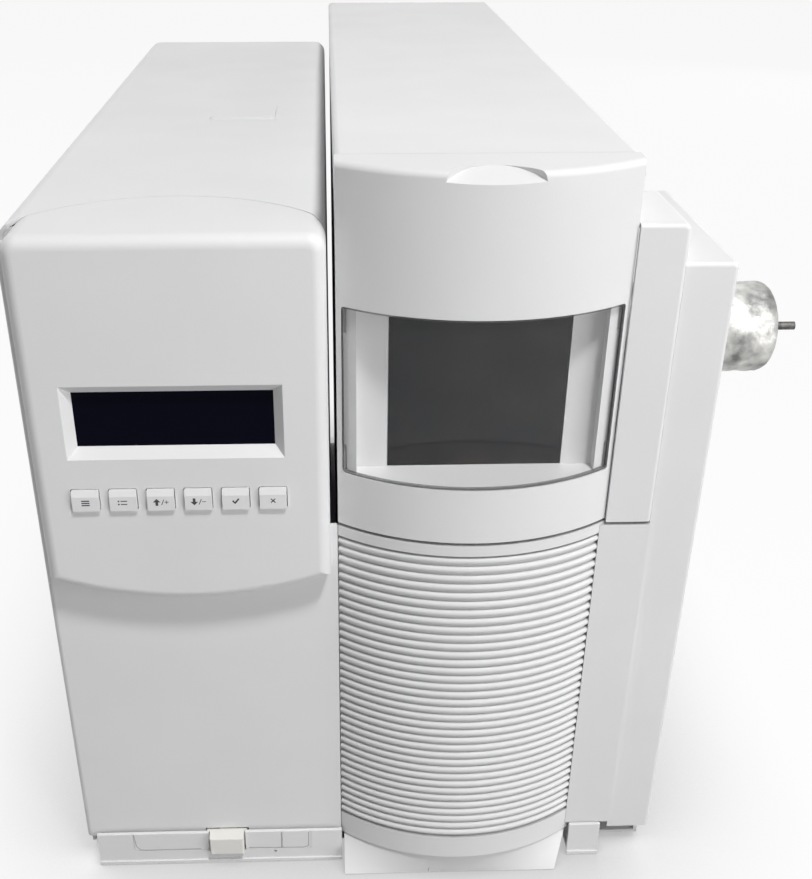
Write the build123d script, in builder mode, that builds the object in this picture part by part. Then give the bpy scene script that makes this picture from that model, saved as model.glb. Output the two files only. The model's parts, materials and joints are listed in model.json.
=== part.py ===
from build123d import *
from math import asin, degrees, sqrt
import os

# Benchtop mass spectrometer, millimetres, +Z up. The front faces -Y and the interface leaves at +X.
# The origin is the middle of the footprint, on the surface that the feet stand on.

# ---------------------------------------------------------------- driving dimensions
LEFT_W, LEFT_D = 144.6, 525.0           # electronics module at the left
MODULE_GAP = 3.9                        # open slot between the two modules
MID_W, MID_D = 133.5, 547.0             # analyzer module
SHOULDER_W, SIDE_W = 23.0, 24.8         # stepped covers at the right of the analyzer module
TOP_Z, CROWN_H, SIDE_STEP = 410.0, 28.0, 18.5  # the height, and the two steps down from it
SHOULDER_PROUD, SIDE_SETBACK = 2.0, 0.5  # fronts of the stepped covers, from the front plane
SHOULDER_TOP_D = 52.5                   # depth of the shoulder cover's upper step
BOW_SAG = 22.0                          # how far the bowed front stands out at its middle
SHEET, WALL = 2.0, 2.5                  # folded sheet, and moulded wall
SEAM, CLEAR = 0.4, 0.3                  # gap between neighbouring covers, and fit of loose pieces
WAIST_GAP, WAIST_DROP = 1.8, 1.4        # shadow gap above the ribbed cover, lower beside the bow
FOOT_H, FOOT_R, FOOT_INSET = 3.0, 14.0, 34.0
COVER_Z, SIDE_LOW_Z, SHOULDER_LOW_Z = 19.5, 17.5, 24.0  # lower edges of the front and side covers
WAIST_Z = 229.8                         # top of the ribbed cover
RETURN_D = 9.5                          # depth of the front covers' side returns
STRIP_PROUD, STRIP_TOP_Z, STRIP_LOW_Z = 4.0, 23.7, 1.0
STRIP_INSET_L, STRIP_INSET_R = 6.5, 5.0
SCORE_W, SCORE_Z = 0.5, 10.5            # scored outline on the strip, and its lower line
SCORE_X0, SCORE_X1, SCORE_X2 = -121.5, -35.2, -18.4  # its upright lines, from the analyzer module
STRIP_HOLE_X, STRIP_HOLE_Z, STRIP_HOLE_R = -39.2, 7.8, 0.9
FLANGE_TOP_Z = 16.0                     # side flanges of the base pan

CORNER_R = 8.0                          # top corners of the electronics module
PANEL_INSET, PANEL_PROUD, PANEL_SKIRT = 4.8, 13.0, 8.0
PANEL_END_Z, PANEL_MID_Z = 207.0, 194.3  # lower edge of the control panel: an arc
LOBE_MID_Y = 50.0                       # the panel's top laps this far back at its middle
PANEL_FILLET = 6.0
DISPLAY_X, DISPLAY_Z = 73.1, 294.0      # display middle, from the left face and the base
DISPLAY_W, DISPLAY_H = 92.5, 27.8
BEVEL_W, BEVEL_H, BEVEL_D = 101.5, 37.5, 5.0
LENS_T, LENS_LAP = 2.0, 2.0
BOARD_T = 1.6                           # every circuit board
KEY_COUNT, KEY_PITCH, KEY_Z = 6, 17.8, 254.0
KEY_W, KEY_H, KEY_PROUD, KEY_TRAVEL = 12.9, 11.0, 1.8, 1.2
KEY_FLANGE, KEY_FLANGE_T, KEY_STEM_L, KEY_STEM_W, KEY_STEM_H = 1.4, 1.2, 4.0, 6.0, 5.0
POWER_X, POWER_W, POWER_PROUD, POWER_TRAVEL = -66.9, 19.6, 4.0, 3.0
POWER_LOW_Z, POWER_GAP, POWER_STEM_L = 10.2, 0.9, 8.0
TAB_X, TAB_Y, TAB_W, TAB_L, TAB_R, TAB_H = 95.0, 238.5, 40.0, 38.5, 3.0, 1.2

RIB_COUNT, RIB_LOW_Z, RIB_HIGH_Z, RIB_DEPTH, RIB_GROOVE = 36, 35.3, 223.3, 1.6, 1.3
WINDOW_SIDE, WINDOW_LOW_Z, WINDOW_HIGH_Z, WINDOW_R = 2.4, 260.6, 345.8, 1.5
INSERT_RIM, INSERT_BACK_Y, PANE_T = 6.8, 4.0, 2.2
GLASS_W, GLASS_SILL, GLASS_H, GLASS_T, GLASS_LAP = 84.5, 0.5, 77.0, 1.6, 3.0
CLIP_SLOT_W, CLIP_SLOT_H = 2.0, 14.0    # openings for clips at the window's corners
PAD_W, PAD_Y, PAD_DROP = 46.0, -9.0, 5.0
LIP_R = 3.0
PLINTH_INSET, PLINTH_REACH, PLINTH_CHEEK, PLINTH_SLOT_X = 1.5, 16.0, 8.0, 50.0

SHELF_Z, SHELF_Y0, SHELF_BEYOND = 212.0, 30.0, 10.0
MANIFOLD_W, MANIFOLD_L, MANIFOLD_WALL = 96.0, 360.0, 8.0
AXIS_X, AXIS_Z = 72.0, 269.4            # analyzer axis, from the analyzer module's left face
MANIFOLD_Y = 60.0
VIEWPORT_R, VIEWPORT_Z, VIEWPORT_RING_R, VIEWPORT_RING_T, VIEWPORT_LAP = 28.0, 278.0, 36.0, 6.0, 4.0
SIDE_PLATE_T, SIDE_PLATE_LIP = 10.0, 4.0
THUMB_R, THUMB_L, THUMB_SHANK_R = 6.5, 9.0, 2.5
VENT_X, VENT_Z, VENT_R, VENT_L, VENT_STEM_R, VENT_GRIP_R = 102.0, 229.0, 8.5, 14.0, 4.0, 2.0
INTERFACE_Y, SLEEVE_R, SLEEVE_REACH, SLEEVE_FILLET, TIP_REACH = 160.0, 27.5, 81.7, 8.0, 17.8
NOTCH_R, SIDE_NOTCH_Y0, NOTCH_Y1 = 32.0, 121.0, 202.0  # cut-outs of the stepped covers round the sleeve
TUBE_R, TUBE_SINK, HEATER_R, INTERFACE_FLANGE_R, INTERFACE_FLANGE_T = 2.5, 4.0, 10.0, 24.0, 6.0
SOURCE_R, SOURCE_AHEAD, SOURCE_L = 20.0, 35.0, 55.0  # the sleeve meets the source this far along it
QUAD_R, QUAD_GAP, QUAD_ROD_R, QUAD_FIELD_R = 20.0, 10.0, 9.0, 7.5
MOUNT_T, MOUNT_R, MOUNT_INSET, MOUNT_FOOT = 10.0, 27.0, 10.0, 20.0
FILAMENT_W, FILAMENT_H, FILAMENT_SINK, FILAMENT_FLAT_L = 14.0, 6.0, 2.0, 16.0
DETECTOR_INSET, DETECTOR_L, DETECTOR_R = 90.0, 50.0, 13.0
DETECTOR_PLATE, DETECTOR_PLATE_T, DETECTOR_ARM, DETECTOR_ARM_Y = 48.0, 5.0, 12.0, 15.0
DETECTOR_MOUTH_D, DETECTOR_TAPER = 12.0, 20.0
GAUGE_RISE, GAUGE_R, GAUGE_L, GAUGE_FLANGE_R, GAUGE_FLANGE_T = 18.0, 12.0, 52.0, 18.0, 8.0
TURBO_Y, TURBO_FLANGE_R, TURBO_R, TURBO_BORE_R = 240.0, 51.0, 46.0, 40.0
TURBO_LOW_Z, TURBO_FLANGE_T, TURBO_FLOOR_T, TURBO_PORT_W = 56.0, 10.0, 16.0, 28.0
ROTOR_R, ROTOR_HUB_R, ROTOR_STAGES, ROTOR_BLADES, BLADE_W, BLADE_H = 38.0, 16.0, 4, 14, 4.0, 6.0
BEARING_R, BEARING_L, BEARING_CLEAR = 5.0, 12.0, 0.05
FORELINE_Z, FORELINE_R, FORELINE_BORE_R, BARB_REACH, BARB_R, BARB_PITCH, BARB_W = 82.0, 8.0, 5.0, 25.0, 9.5, 8.0, 3.0

FAN_X, FAN_DROP, FAN_SIZE, FAN_D, FAN_BORE_R, FAN_HUB_R = 70.0, 82.0, 80.0, 25.0, 37.5, 16.0
FAN_BLADES, FAN_WEB_T, FAN_WEB_W, FAN_HOLE_R, FAN_HOLE_INSET, FAN_SWEEP = 7, 3.0, 4.0, 2.2, 4.5, 22.0
INLET_X, INLET_Z, INLET_W, INLET_H, INLET_D, INLET_WALL, INLET_EAR = 40.0, 60.0, 30.0, 22.0, 20.0, 3.0, 11.0
INLET_PIN_W, INLET_PIN_H, INLET_PIN_X = 1.6, 4.0, 7.0
PORT_X, PORT_Z, PORT_W, PORT_H, PORT_D, PORT_WALL = 96.0, 70.0, 16.0, 14.0, 15.0, 2.0
MAIN_BOARD_INSET, MAIN_BOARD_Y, MAIN_BOARD_END, MAIN_BOARD_H = 14.0, 130.0, 45.0, 310.0
GUIDE_L, GUIDE_H, GUIDE_W, GUIDE_FIT = 40.0, 10.0, 6.0, 0.1
SUPPLY_INSET, SUPPLY_W, SUPPLY_GAP, SUPPLY_H, SUPPLY_END = 14.0, 96.0, 35.0, 70.0, 125.0
VENT_SLOT_W, VENT_SLOT_PITCH, VENT_SLOT_D = 5.0, 18.0, 3.0
TOROID_Y, TOROID_X, TOROID_R, TOROID_W, TOROID_H = 120.0, 62.0, 32.0, 36.0, 50.0
CONTROLLER_X, CONTROLLER_Y, CONTROLLER_W, CONTROLLER_L, CONTROLLER_H = 24.0, 50.0, 94.0, 135.0, 46.0
SCREW_R, SCREW_H, SCREW_INSET, SCREW_Z = 3.5, 2.0, 12.0, 40.0
LOUVRE_W, LOUVRE_H, LOUVRE_PITCH_X, LOUVRE_PITCH_Z = 38.0, 4.0, 46.0, 9.0
CROWN_Y = 12.3                          # seam across the crown, behind the bowed cover

# ---------------------------------------------------------------- places worked out from them
TOTAL_W = LEFT_W + MODULE_GAP + MID_W + SHOULDER_W + SIDE_W + SLEEVE_REACH + TIP_REACH
TOTAL_D = BOW_SAG + MID_D + BARB_REACH
X_L0 = -TOTAL_W / 2                     # left face of the electronics module
X_L1 = X_L0 + LEFT_W
X_M0 = X_L1 + MODULE_GAP                # left face of the analyzer module
X_M1 = X_M0 + MID_W
X_R1 = X_M1 + SHOULDER_W
X_R2 = X_R1 + SIDE_W                    # outer side face
X_P0 = X_L0 + PANEL_INSET
X_MID = (X_M0 + X_M1) / 2
X_AXIS = X_M0 + AXIS_X
LOW_TOP_Z = TOP_Z - CROWN_H             # top of the electronics module and of the shoulder
SIDE_TOP_Z = LOW_TOP_Z - SIDE_STEP      # top of the outer side cover
PANEL_TOP_Z = LOW_TOP_Z - PANEL_SKIRT   # top of the front panel, inside the control panel's cover
Y_F = BOW_SAG - TOTAL_D / 2             # front plane of the covers
Y_L1, Y_M1 = Y_F + LEFT_D, Y_F + MID_D  # rear faces
FLOOR_Z = FOOT_H + SHEET                # upper face of the base pan
BOW_R = ((MID_W / 2) ** 2 + BOW_SAG ** 2) / (2 * BOW_SAG)
BOW_Y = Y_F - BOW_SAG + BOW_R           # centre of the bowed front
BOW_HALF_ANGLE = degrees(asin(MID_W / 2 / BOW_R))

os.makedirs("parts", exist_ok=True)


def facing(y):
    """Plane across the depth at y, seen from the front: local x is X and local y is Z."""
    return Plane(origin=(0, y, 0), x_dir=(1, 0, 0), z_dir=(0, -1, 0))


def side_on(x):
    """Plane across the width at x, seen from the right: local x is Y and local y is Z."""
    return Plane(origin=(x, 0, 0), x_dir=(0, 1, 0), z_dir=(1, 0, 0))


def rect(a0, a1, b0, b1, mode=Mode.ADD):
    """Rectangle of the current sketch between two corners."""
    with Locations(((a0 + a1) / 2, (b0 + b1) / 2)):
        Rectangle(a1 - a0, b1 - b0, mode=mode)


def block(x0, x1, y0, y1, z0, z1, mode=Mode.ADD):
    """Box of the current part between two corners."""
    with Locations(((x0 + x1) / 2, (y0 + y1) / 2, (z0 + z1) / 2)):
        Box(x1 - x0, y1 - y0, z1 - z0, mode=mode)


def rod_y(x, z, y0, y1, radius, mode=Mode.ADD):
    """Cylinder of the current part along Y."""
    with Locations(Location((x, (y0 + y1) / 2, z), (90, 0, 0))):
        Cylinder(radius, y1 - y0, mode=mode)


def rod_x(y, z, x0, x1, radius, mode=Mode.ADD):
    """Cylinder of the current part along X."""
    with Locations(Location(((x0 + x1) / 2, y, z), (0, 90, 0))):
        Cylinder(radius, x1 - x0, mode=mode)


def rod_z(x, y, z0, z1, radius, mode=Mode.ADD):
    """Cylinder of the current part along Z."""
    with Locations((x, y, (z0 + z1) / 2)):
        Cylinder(radius, z1 - z0, mode=mode)


def finish(piece, label):
    """Name a finished piece and write its STEP file."""
    piece.part.label = label
    export_step(piece.part, f"parts/{label}.step")


# ---------------------------------------------------------------- base
strip_spans = [(X_L0 + STRIP_INSET_L, X_M0), (X_M1, X_R1 - STRIP_INSET_R)]
strip_y = Y_F - STRIP_PROUD
fold_y = strip_y - 1                    # the strip's lower edge is folded forwards
pan_front_y = Y_F + RETURN_D
power_x = X_M0 + POWER_X
pan_x0, pan_x1 = X_L0 + SHEET + SEAM, X_R2 - WALL - SEAM
pan_joint_y = Y_F + LEFT_D / 2
foot_places = [(x, y) for x in (X_L0 + FOOT_INSET, X_R2 - FOOT_INSET) for y in (Y_F + FOOT_INSET, Y_L1 - FOOT_INSET)]

with BuildPart() as base_pan:
    with BuildSketch(Plane.XY.offset(FOOT_H)):
        rect(pan_x0, pan_x1, pan_front_y, Y_L1 - SHEET - SEAM)
        rect(X_M0, pan_x1, pan_joint_y, Y_M1 - SHEET - SEAM)
        for span_x0, span_x1 in strip_spans:
            rect(span_x0, span_x1, strip_y, pan_joint_y)
    extrude(amount=SHEET)
    for span_x0, span_x1 in strip_spans:
        block(span_x0, span_x1, strip_y, strip_y + SHEET, STRIP_LOW_Z, STRIP_TOP_Z)
        block(span_x0, span_x1, fold_y, strip_y, STRIP_LOW_Z, STRIP_LOW_Z + SHEET)
    for flange_x in (pan_x0, pan_x1 - SHEET):
        block(flange_x, flange_x + SHEET, Y_F + RETURN_D + SEAM, Y_L1 - SHEET - SEAM, FLOOR_Z, FLANGE_TOP_Z)
    block(power_x - POWER_W / 2 - POWER_GAP, power_x + POWER_W / 2 + POWER_GAP, fold_y, strip_y + SHEET,
          POWER_LOW_Z - POWER_GAP, STRIP_TOP_Z, Mode.SUBTRACT)
    block(X_M0 + SCORE_X0, X_M0 + SCORE_X2, fold_y, strip_y + SCORE_W, SCORE_Z, SCORE_Z + SCORE_W, Mode.SUBTRACT)
    for score_x in (SCORE_X0, SCORE_X1, SCORE_X2):
        block(X_M0 + score_x, X_M0 + score_x + SCORE_W, fold_y, strip_y + SCORE_W, SCORE_Z, STRIP_TOP_Z, Mode.SUBTRACT)
    rod_y(X_M0 + STRIP_HOLE_X, STRIP_HOLE_Z, fold_y, strip_y + SHEET, STRIP_HOLE_R, Mode.SUBTRACT)
finish(base_pan, "base_pan")

with BuildPart() as rubber_feet:
    with BuildSketch():
        with Locations(foot_places):
            Circle(FOOT_R)
    extrude(amount=FOOT_H)
    chamfer(edges().group_by(Axis.Z)[0], FOOT_H / 4)
finish(rubber_feet, "rubber_feet")

# ---------------------------------------------------------------- electronics module
with BuildPart() as left_cover:
    with BuildSketch(facing(Y_L1)):
        rect(X_L0, X_L1, FLOOR_Z + SHEET / 2, LOW_TOP_Z)
        fillet(vertices().group_by(Axis.Y)[-1], CORNER_R)
        offset(amount=-SHEET, mode=Mode.SUBTRACT)
        rect(X_L0 + SHEET, X_L1 - SHEET, FLOOR_Z, FLOOR_Z + CORNER_R, Mode.SUBTRACT)
    extrude(amount=LEFT_D - RETURN_D - SEAM)
    with BuildSketch(Plane.XY.offset(PANEL_TOP_Z)):
        with BuildLine():
            ThreePointArc((X_P0 - SEAM, Y_F + RETURN_D + SEAM), ((X_P0 + X_L1) / 2, Y_F + LOBE_MID_Y + SEAM),
                          (X_L1 + SEAM, Y_F + RETURN_D + SEAM))
            Line((X_L1 + SEAM, Y_F + RETURN_D + SEAM), (X_P0 - SEAM, Y_F + RETURN_D + SEAM))
        make_face()
    extrude(amount=LOW_TOP_Z - PANEL_TOP_Z, mode=Mode.SUBTRACT)
    with BuildSketch(Plane.XY.offset(LOW_TOP_Z)):
        with Locations((X_L0 + TAB_X, Y_F + TAB_Y)):
            RectangleRounded(TAB_W, TAB_L, TAB_R)
    extrude(amount=TAB_H, taper=30)
finish(left_cover, "left_cover")

panel_window_inset = 11.0               # frame left round the opening behind the control panel
with BuildPart() as front_panel:
    with BuildSketch(Plane.XY.offset(COVER_Z)):
        rect(X_L0, X_L1, Y_F, Y_F + RETURN_D)
        fillet(vertices().group_by(Axis.Y)[0], 1.5 * SHEET)
        rect(X_L0 + SHEET, X_L1 - SHEET, Y_F + SHEET, Y_F + RETURN_D, Mode.SUBTRACT)
    extrude(amount=PANEL_TOP_Z - COVER_Z)
    block(X_L1 - 2 * SHEET, X_M0 - CLEAR, Y_F, Y_F + SHEET, COVER_Z, WAIST_Z)
    block(power_x - POWER_W / 2 - 3 * POWER_GAP, power_x + POWER_W / 2 + 3 * POWER_GAP, Y_F, Y_F + SHEET,
          COVER_Z, STRIP_TOP_Z, Mode.SUBTRACT)
    with BuildSketch(facing(Y_F)):
        rect(X_P0 + panel_window_inset, X_L1 - panel_window_inset, PANEL_END_Z + 2 * panel_window_inset,
             PANEL_TOP_Z - panel_window_inset)
        fillet(vertices(), 2 * SHEET)
    extrude(amount=-SHEET, mode=Mode.SUBTRACT)
finish(front_panel, "front_panel")


def panel_form(inset):
    """Outer form of the control panel cover, or with an inset the space inside its wall."""
    x0, x1 = X_P0 + inset, X_L1 - inset
    front, side_back, lobe_back = (Y_F - PANEL_PROUD + inset, Y_F + RETURN_D - inset, Y_F + LOBE_MID_Y - inset)
    with BuildPart() as form:
        with BuildSketch(facing(Y_F + LOBE_MID_Y)):
            with BuildLine():
                ThreePointArc((x0, PANEL_END_Z + inset), ((x0 + x1) / 2, PANEL_MID_Z + inset),
                              (x1, PANEL_END_Z + inset))
                Polyline((x1, PANEL_END_Z + inset), (x1, LOW_TOP_Z - inset), (x0, LOW_TOP_Z - inset),
                         (x0, PANEL_END_Z + inset))
            make_face()
            fillet(vertices().group_by(Axis.Y)[-1], CORNER_R - inset)
        extrude(amount=LOBE_MID_Y + PANEL_PROUD - inset)
        with BuildSketch():
            with BuildLine():
                ThreePointArc((x0, side_back), ((x0 + x1) / 2, lobe_back), (x1, side_back))
                Polyline((x1, side_back), (x1, front), (x0, front), (x0, side_back))
            make_face()
        extrude(amount=TOP_Z, mode=Mode.INTERSECT)
        fillet(faces().sort_by(Axis.Y)[0].edges(), PANEL_FILLET - inset)
    return form.part


key_places = [(X_L0 + DISPLAY_X + (i - (KEY_COUNT - 1) / 2) * KEY_PITCH, KEY_Z) for i in range(KEY_COUNT)]
display_at = (X_L0 + DISPLAY_X, DISPLAY_Z)
panel_y = Y_F - PANEL_PROUD
pocket_y = panel_y + BEVEL_D
lens_back_y = pocket_y + LENS_T
flange_y = panel_y + WALL + CLEAR       # front of the keys' flanges, behind the cover's wall
board_y = flange_y + KEY_FLANGE_T + KEY_STEM_L + KEY_TRAVEL + CLEAR
post_r = 2.5
post_dx = KEY_PITCH * KEY_COUNT / 2 + 2

with BuildPart() as control_panel_cover:
    add(panel_form(0))
    add(panel_form(WALL), mode=Mode.SUBTRACT)
    block(X_L0, X_M0, Y_F, Y_F + LOBE_MID_Y, 0, PANEL_TOP_Z + CLEAR, Mode.SUBTRACT)
    with BuildSketch(facing(lens_back_y)):
        with Locations(display_at):
            Rectangle(BEVEL_W + 2 * SHEET, BEVEL_H + 2 * SHEET)
    extrude(amount=lens_back_y - panel_y - WALL / 2)
    with BuildSketch(facing(panel_y)):
        with Locations(display_at):
            Rectangle(BEVEL_W, BEVEL_H)
    with BuildSketch(facing(pocket_y)):
        with Locations(display_at):
            Rectangle(DISPLAY_W, DISPLAY_H)
    loft(mode=Mode.SUBTRACT)
    with BuildSketch(facing(pocket_y)):
        with Locations(display_at):
            Rectangle(DISPLAY_W + 2 * (LENS_LAP + CLEAR), DISPLAY_H + 2 * (LENS_LAP + CLEAR))
    extrude(amount=-LENS_T, mode=Mode.SUBTRACT)
    with BuildSketch(facing(panel_y)):
        with Locations(key_places):
            RectangleRounded(KEY_W + 2 * SEAM, KEY_H + 2 * SEAM, 3 * SEAM)
    extrude(amount=-WALL, mode=Mode.SUBTRACT)
    with BuildSketch(facing(board_y)):
        with Locations((display_at[0] - post_dx, KEY_Z), (display_at[0] + post_dx, KEY_Z)):
            Circle(post_r)
    extrude(amount=board_y - panel_y - WALL / 2)
finish(control_panel_cover, "control_panel_cover")

with BuildPart() as display_lens:
    with BuildSketch(facing(lens_back_y)):
        with Locations(display_at):
            Rectangle(DISPLAY_W + 2 * LENS_LAP, DISPLAY_H + 2 * LENS_LAP)
    extrude(amount=LENS_T)
finish(display_lens, "display_lens")

with BuildPart() as display_module:
    with BuildSketch(facing(lens_back_y)):
        with Locations(display_at):
            Rectangle(DISPLAY_W + 2 * WALL, DISPLAY_H + 2 * WALL)
    extrude(amount=-BOARD_T)
    with BuildSketch(facing(lens_back_y + BOARD_T)):
        with Locations(display_at):
            Rectangle(DISPLAY_W - 2 * WALL, DISPLAY_H - 2 * WALL)
    extrude(amount=-2 * WALL)
finish(display_module, "display_module")

with BuildPart() as keypad_board:
    with BuildSketch(facing(board_y)):
        with Locations((display_at[0], KEY_Z)):
            Rectangle(2 * post_dx + 2 * post_r, 1.8 * KEY_H)
    extrude(amount=-BOARD_T)
    with BuildSketch(facing(board_y + BOARD_T)):
        with Locations(key_places):
            Circle(post_r)
    extrude(amount=-BOARD_T)
finish(keypad_board, "keypad_board")

for number, (key_x, key_z) in enumerate(key_places, 1):
    with BuildPart() as panel_key:
        with BuildSketch(side_on(key_x)):
            with BuildLine():
                Polyline((flange_y, key_z - KEY_H / 2), (panel_y - KEY_PROUD, key_z - KEY_H / 2),
                         (panel_y - KEY_PROUD, key_z + KEY_H * 0.2), (panel_y - KEY_PROUD / 3, key_z + KEY_H / 2),
                         (flange_y, key_z + KEY_H / 2), close=True)
            make_face()
        extrude(amount=KEY_W / 2, both=True)
        fillet(edges().filter_by(Axis.Y), 0.8)
        with BuildSketch(facing(flange_y)):
            with Locations((key_x, key_z)):
                Rectangle(KEY_W + 2 * KEY_FLANGE, KEY_H + 2 * KEY_FLANGE)
        extrude(amount=-KEY_FLANGE_T)
        with BuildSketch(facing(flange_y + KEY_FLANGE_T)):
            with Locations((key_x, key_z)):
                Rectangle(KEY_STEM_W, KEY_STEM_H)
        extrude(amount=-KEY_STEM_L)
    finish(panel_key, f"panel_key_{number}")

button_flange_y = strip_y + SHEET + CLEAR
button_z0, button_z1 = POWER_LOW_Z, STRIP_TOP_Z - POWER_GAP
button_mid_z = (button_z0 + button_z1) / 2
with BuildPart() as power_button:
    with BuildSketch(facing(button_flange_y)):
        rect(power_x - POWER_W / 2, power_x + POWER_W / 2, button_z0, button_z1)
    extrude(amount=SHEET + CLEAR + POWER_PROUD)
    fillet(faces().sort_by(Axis.Y)[0].edges(), POWER_GAP)
    with BuildSketch(facing(button_flange_y)):
        rect(power_x - POWER_W / 2 - 2 * POWER_GAP, power_x + POWER_W / 2 + 2 * POWER_GAP, button_z0, button_z1)
    extrude(amount=-SHEET)
    with BuildSketch(facing(button_flange_y + SHEET)):
        with Locations((power_x, button_mid_z)):
            Rectangle(POWER_W / 2, (button_z1 - button_z0) / 2)
    extrude(amount=-POWER_STEM_L)
finish(power_button, "power_button")

switch_y = button_flange_y + SHEET + POWER_STEM_L + POWER_TRAVEL + CLEAR
switch_l, tab_l, tab_w = 30.0, 8.0, 4.0
with BuildPart() as power_switch:
    block(power_x - POWER_W / 2, power_x + POWER_W / 2, switch_y, switch_y + switch_l, FLOOR_Z, STRIP_TOP_Z)
    for pin_x in (power_x - POWER_W / 4, power_x + POWER_W / 4):
        block(pin_x - tab_w / 2, pin_x + tab_w / 2, switch_y + switch_l, switch_y + switch_l + tab_l,
              button_mid_z - SEAM, button_mid_z + SEAM)
finish(power_switch, "power_switch")

inlet_at = (X_L0 + INLET_X, INLET_Z)
port_at = (X_L0 + PORT_X, PORT_Z)
fan_at = (X_L0 + FAN_X, LOW_TOP_Z - FAN_DROP)
grille_pitch, grille_slot = 7.0, 4.0
grille_rows = int((FAN_BORE_R - grille_slot) / grille_pitch)

with BuildPart() as rear_panel:
    with BuildSketch(facing(Y_L1)):
        rect(X_L0 + SHEET + SEAM, X_L1 - SHEET - SEAM, FLOOR_Z, LOW_TOP_Z - SHEET - SEAM)
        fillet(vertices().group_by(Axis.Y)[-1], CORNER_R - SHEET)
        with Locations(inlet_at):
            Rectangle(INLET_W + SEAM, INLET_H + SEAM, mode=Mode.SUBTRACT)
        with Locations(port_at):
            Rectangle(PORT_W + SEAM, PORT_H + SEAM, mode=Mode.SUBTRACT)
        for row in range(-grille_rows, grille_rows + 1):
            half_row = sqrt(FAN_BORE_R ** 2 - (row * grille_pitch) ** 2)
            with Locations((fan_at[0], fan_at[1] + row * grille_pitch)):
                SlotOverall(2 * half_row, grille_slot, mode=Mode.SUBTRACT)
    extrude(amount=SHEET)
finish(rear_panel, "rear_panel")

fan_y0 = Y_L1 - SHEET - FAN_D
with BuildPart() as fan_frame:
    with BuildSketch(facing(fan_y0 + FAN_D)):
        with Locations(fan_at):
            RectangleRounded(FAN_SIZE, FAN_SIZE, FAN_HOLE_INSET)
            Circle(FAN_BORE_R, mode=Mode.SUBTRACT)
            with GridLocations(FAN_SIZE - 2 * FAN_HOLE_INSET, FAN_SIZE - 2 * FAN_HOLE_INSET, 2, 2):
                Circle(FAN_HOLE_R, mode=Mode.SUBTRACT)
    extrude(amount=FAN_D)
    with BuildSketch(facing(fan_y0 + FAN_WEB_T)):
        with Locations(fan_at):
            Circle(FAN_HUB_R)
            with PolarLocations(0, 4):
                with Locations(((FAN_BORE_R + FAN_HUB_R) / 2, 0)):
                    Rectangle(FAN_BORE_R - FAN_HUB_R + FAN_WEB_T, FAN_WEB_W)
    extrude(amount=FAN_WEB_T)
    rod_y(fan_at[0], fan_at[1], fan_y0 + FAN_WEB_T, fan_y0 + FAN_D - 2 * FAN_WEB_T, BEARING_R / 2)
finish(fan_frame, "fan_frame")

with BuildPart() as fan_rotor:
    with BuildSketch(facing(fan_y0 + FAN_D - FAN_WEB_T)):
        with Locations(fan_at):
            Circle(FAN_HUB_R)
            with PolarLocations((FAN_BORE_R + FAN_HUB_R) / 2 - SHEET / 2, FAN_BLADES):
                Rectangle(FAN_BORE_R - FAN_HUB_R, FAN_WEB_T, rotation=FAN_SWEEP)
    extrude(amount=FAN_D - 2 * FAN_WEB_T - CLEAR)
    rod_y(fan_at[0], fan_at[1], fan_y0, fan_y0 + FAN_D - 2 * FAN_WEB_T + CLEAR, BEARING_R / 2 + BEARING_CLEAR,
          Mode.SUBTRACT)
finish(fan_rotor, "fan_rotor")

with BuildPart() as power_inlet:
    with BuildSketch(facing(Y_L1)):
        with Locations(inlet_at):
            Rectangle(INLET_W, INLET_H)
    extrude(amount=INLET_D)
    with BuildSketch(facing(Y_L1)):
        with Locations(inlet_at):
            RectangleRounded(INLET_W + 2 * INLET_EAR, INLET_H + 2 * INLET_WALL, 2 * INLET_WALL)
    extrude(amount=-SHEET)
    with BuildSketch(facing(Y_L1 + SHEET)):
        with Locations(inlet_at):
            Rectangle(INLET_W - 2 * INLET_WALL, INLET_H - 2 * INLET_WALL)
    extrude(amount=INLET_D + SHEET - INLET_WALL, mode=Mode.SUBTRACT)
    with BuildSketch(facing(Y_L1 - INLET_D + 2 * INLET_WALL)):
        with Locations(inlet_at):
            with Locations((-INLET_PIN_X, -SHEET), (INLET_PIN_X, -SHEET), (0, INLET_WALL)):
                Rectangle(INLET_PIN_W, INLET_PIN_H)
    extrude(amount=2 * INLET_WALL)
finish(power_inlet, "power_inlet")

with BuildPart() as network_port:
    with BuildSketch(facing(Y_L1)):
        with Locations(port_at):
            Rectangle(PORT_W, PORT_H)
    extrude(amount=PORT_D)
    with BuildSketch(facing(Y_L1)):
        with Locations(port_at):
            Rectangle(PORT_W - 2 * PORT_WALL, PORT_H - 2 * PORT_WALL)
    extrude(amount=PORT_D - PORT_WALL, mode=Mode.SUBTRACT)
    with BuildSketch(facing(Y_L1 - PORT_D)):
        with Locations(port_at):
            Rectangle(PORT_W + 2 * GUIDE_W, PORT_H + 2 * GUIDE_W)
    extrude(amount=BOARD_T)
finish(network_port, "network_port")

board_x = X_L1 - MAIN_BOARD_INSET
board_y0, board_y1 = Y_F + MAIN_BOARD_Y, Y_L1 - MAIN_BOARD_END
with BuildPart() as board_guides:
    for guide_y in (board_y0 + GUIDE_H, board_y1 - GUIDE_H - GUIDE_L):
        block(board_x - GUIDE_W, board_x + BOARD_T + GUIDE_W, guide_y, guide_y + GUIDE_L, FLOOR_Z, FLOOR_Z + GUIDE_H)
    block(board_x - GUIDE_FIT, board_x + BOARD_T + GUIDE_FIT, board_y0, board_y1,
          FLOOR_Z + GUIDE_H / 2, FLOOR_Z + GUIDE_H, Mode.SUBTRACT)
finish(board_guides, "board_guides")

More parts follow.
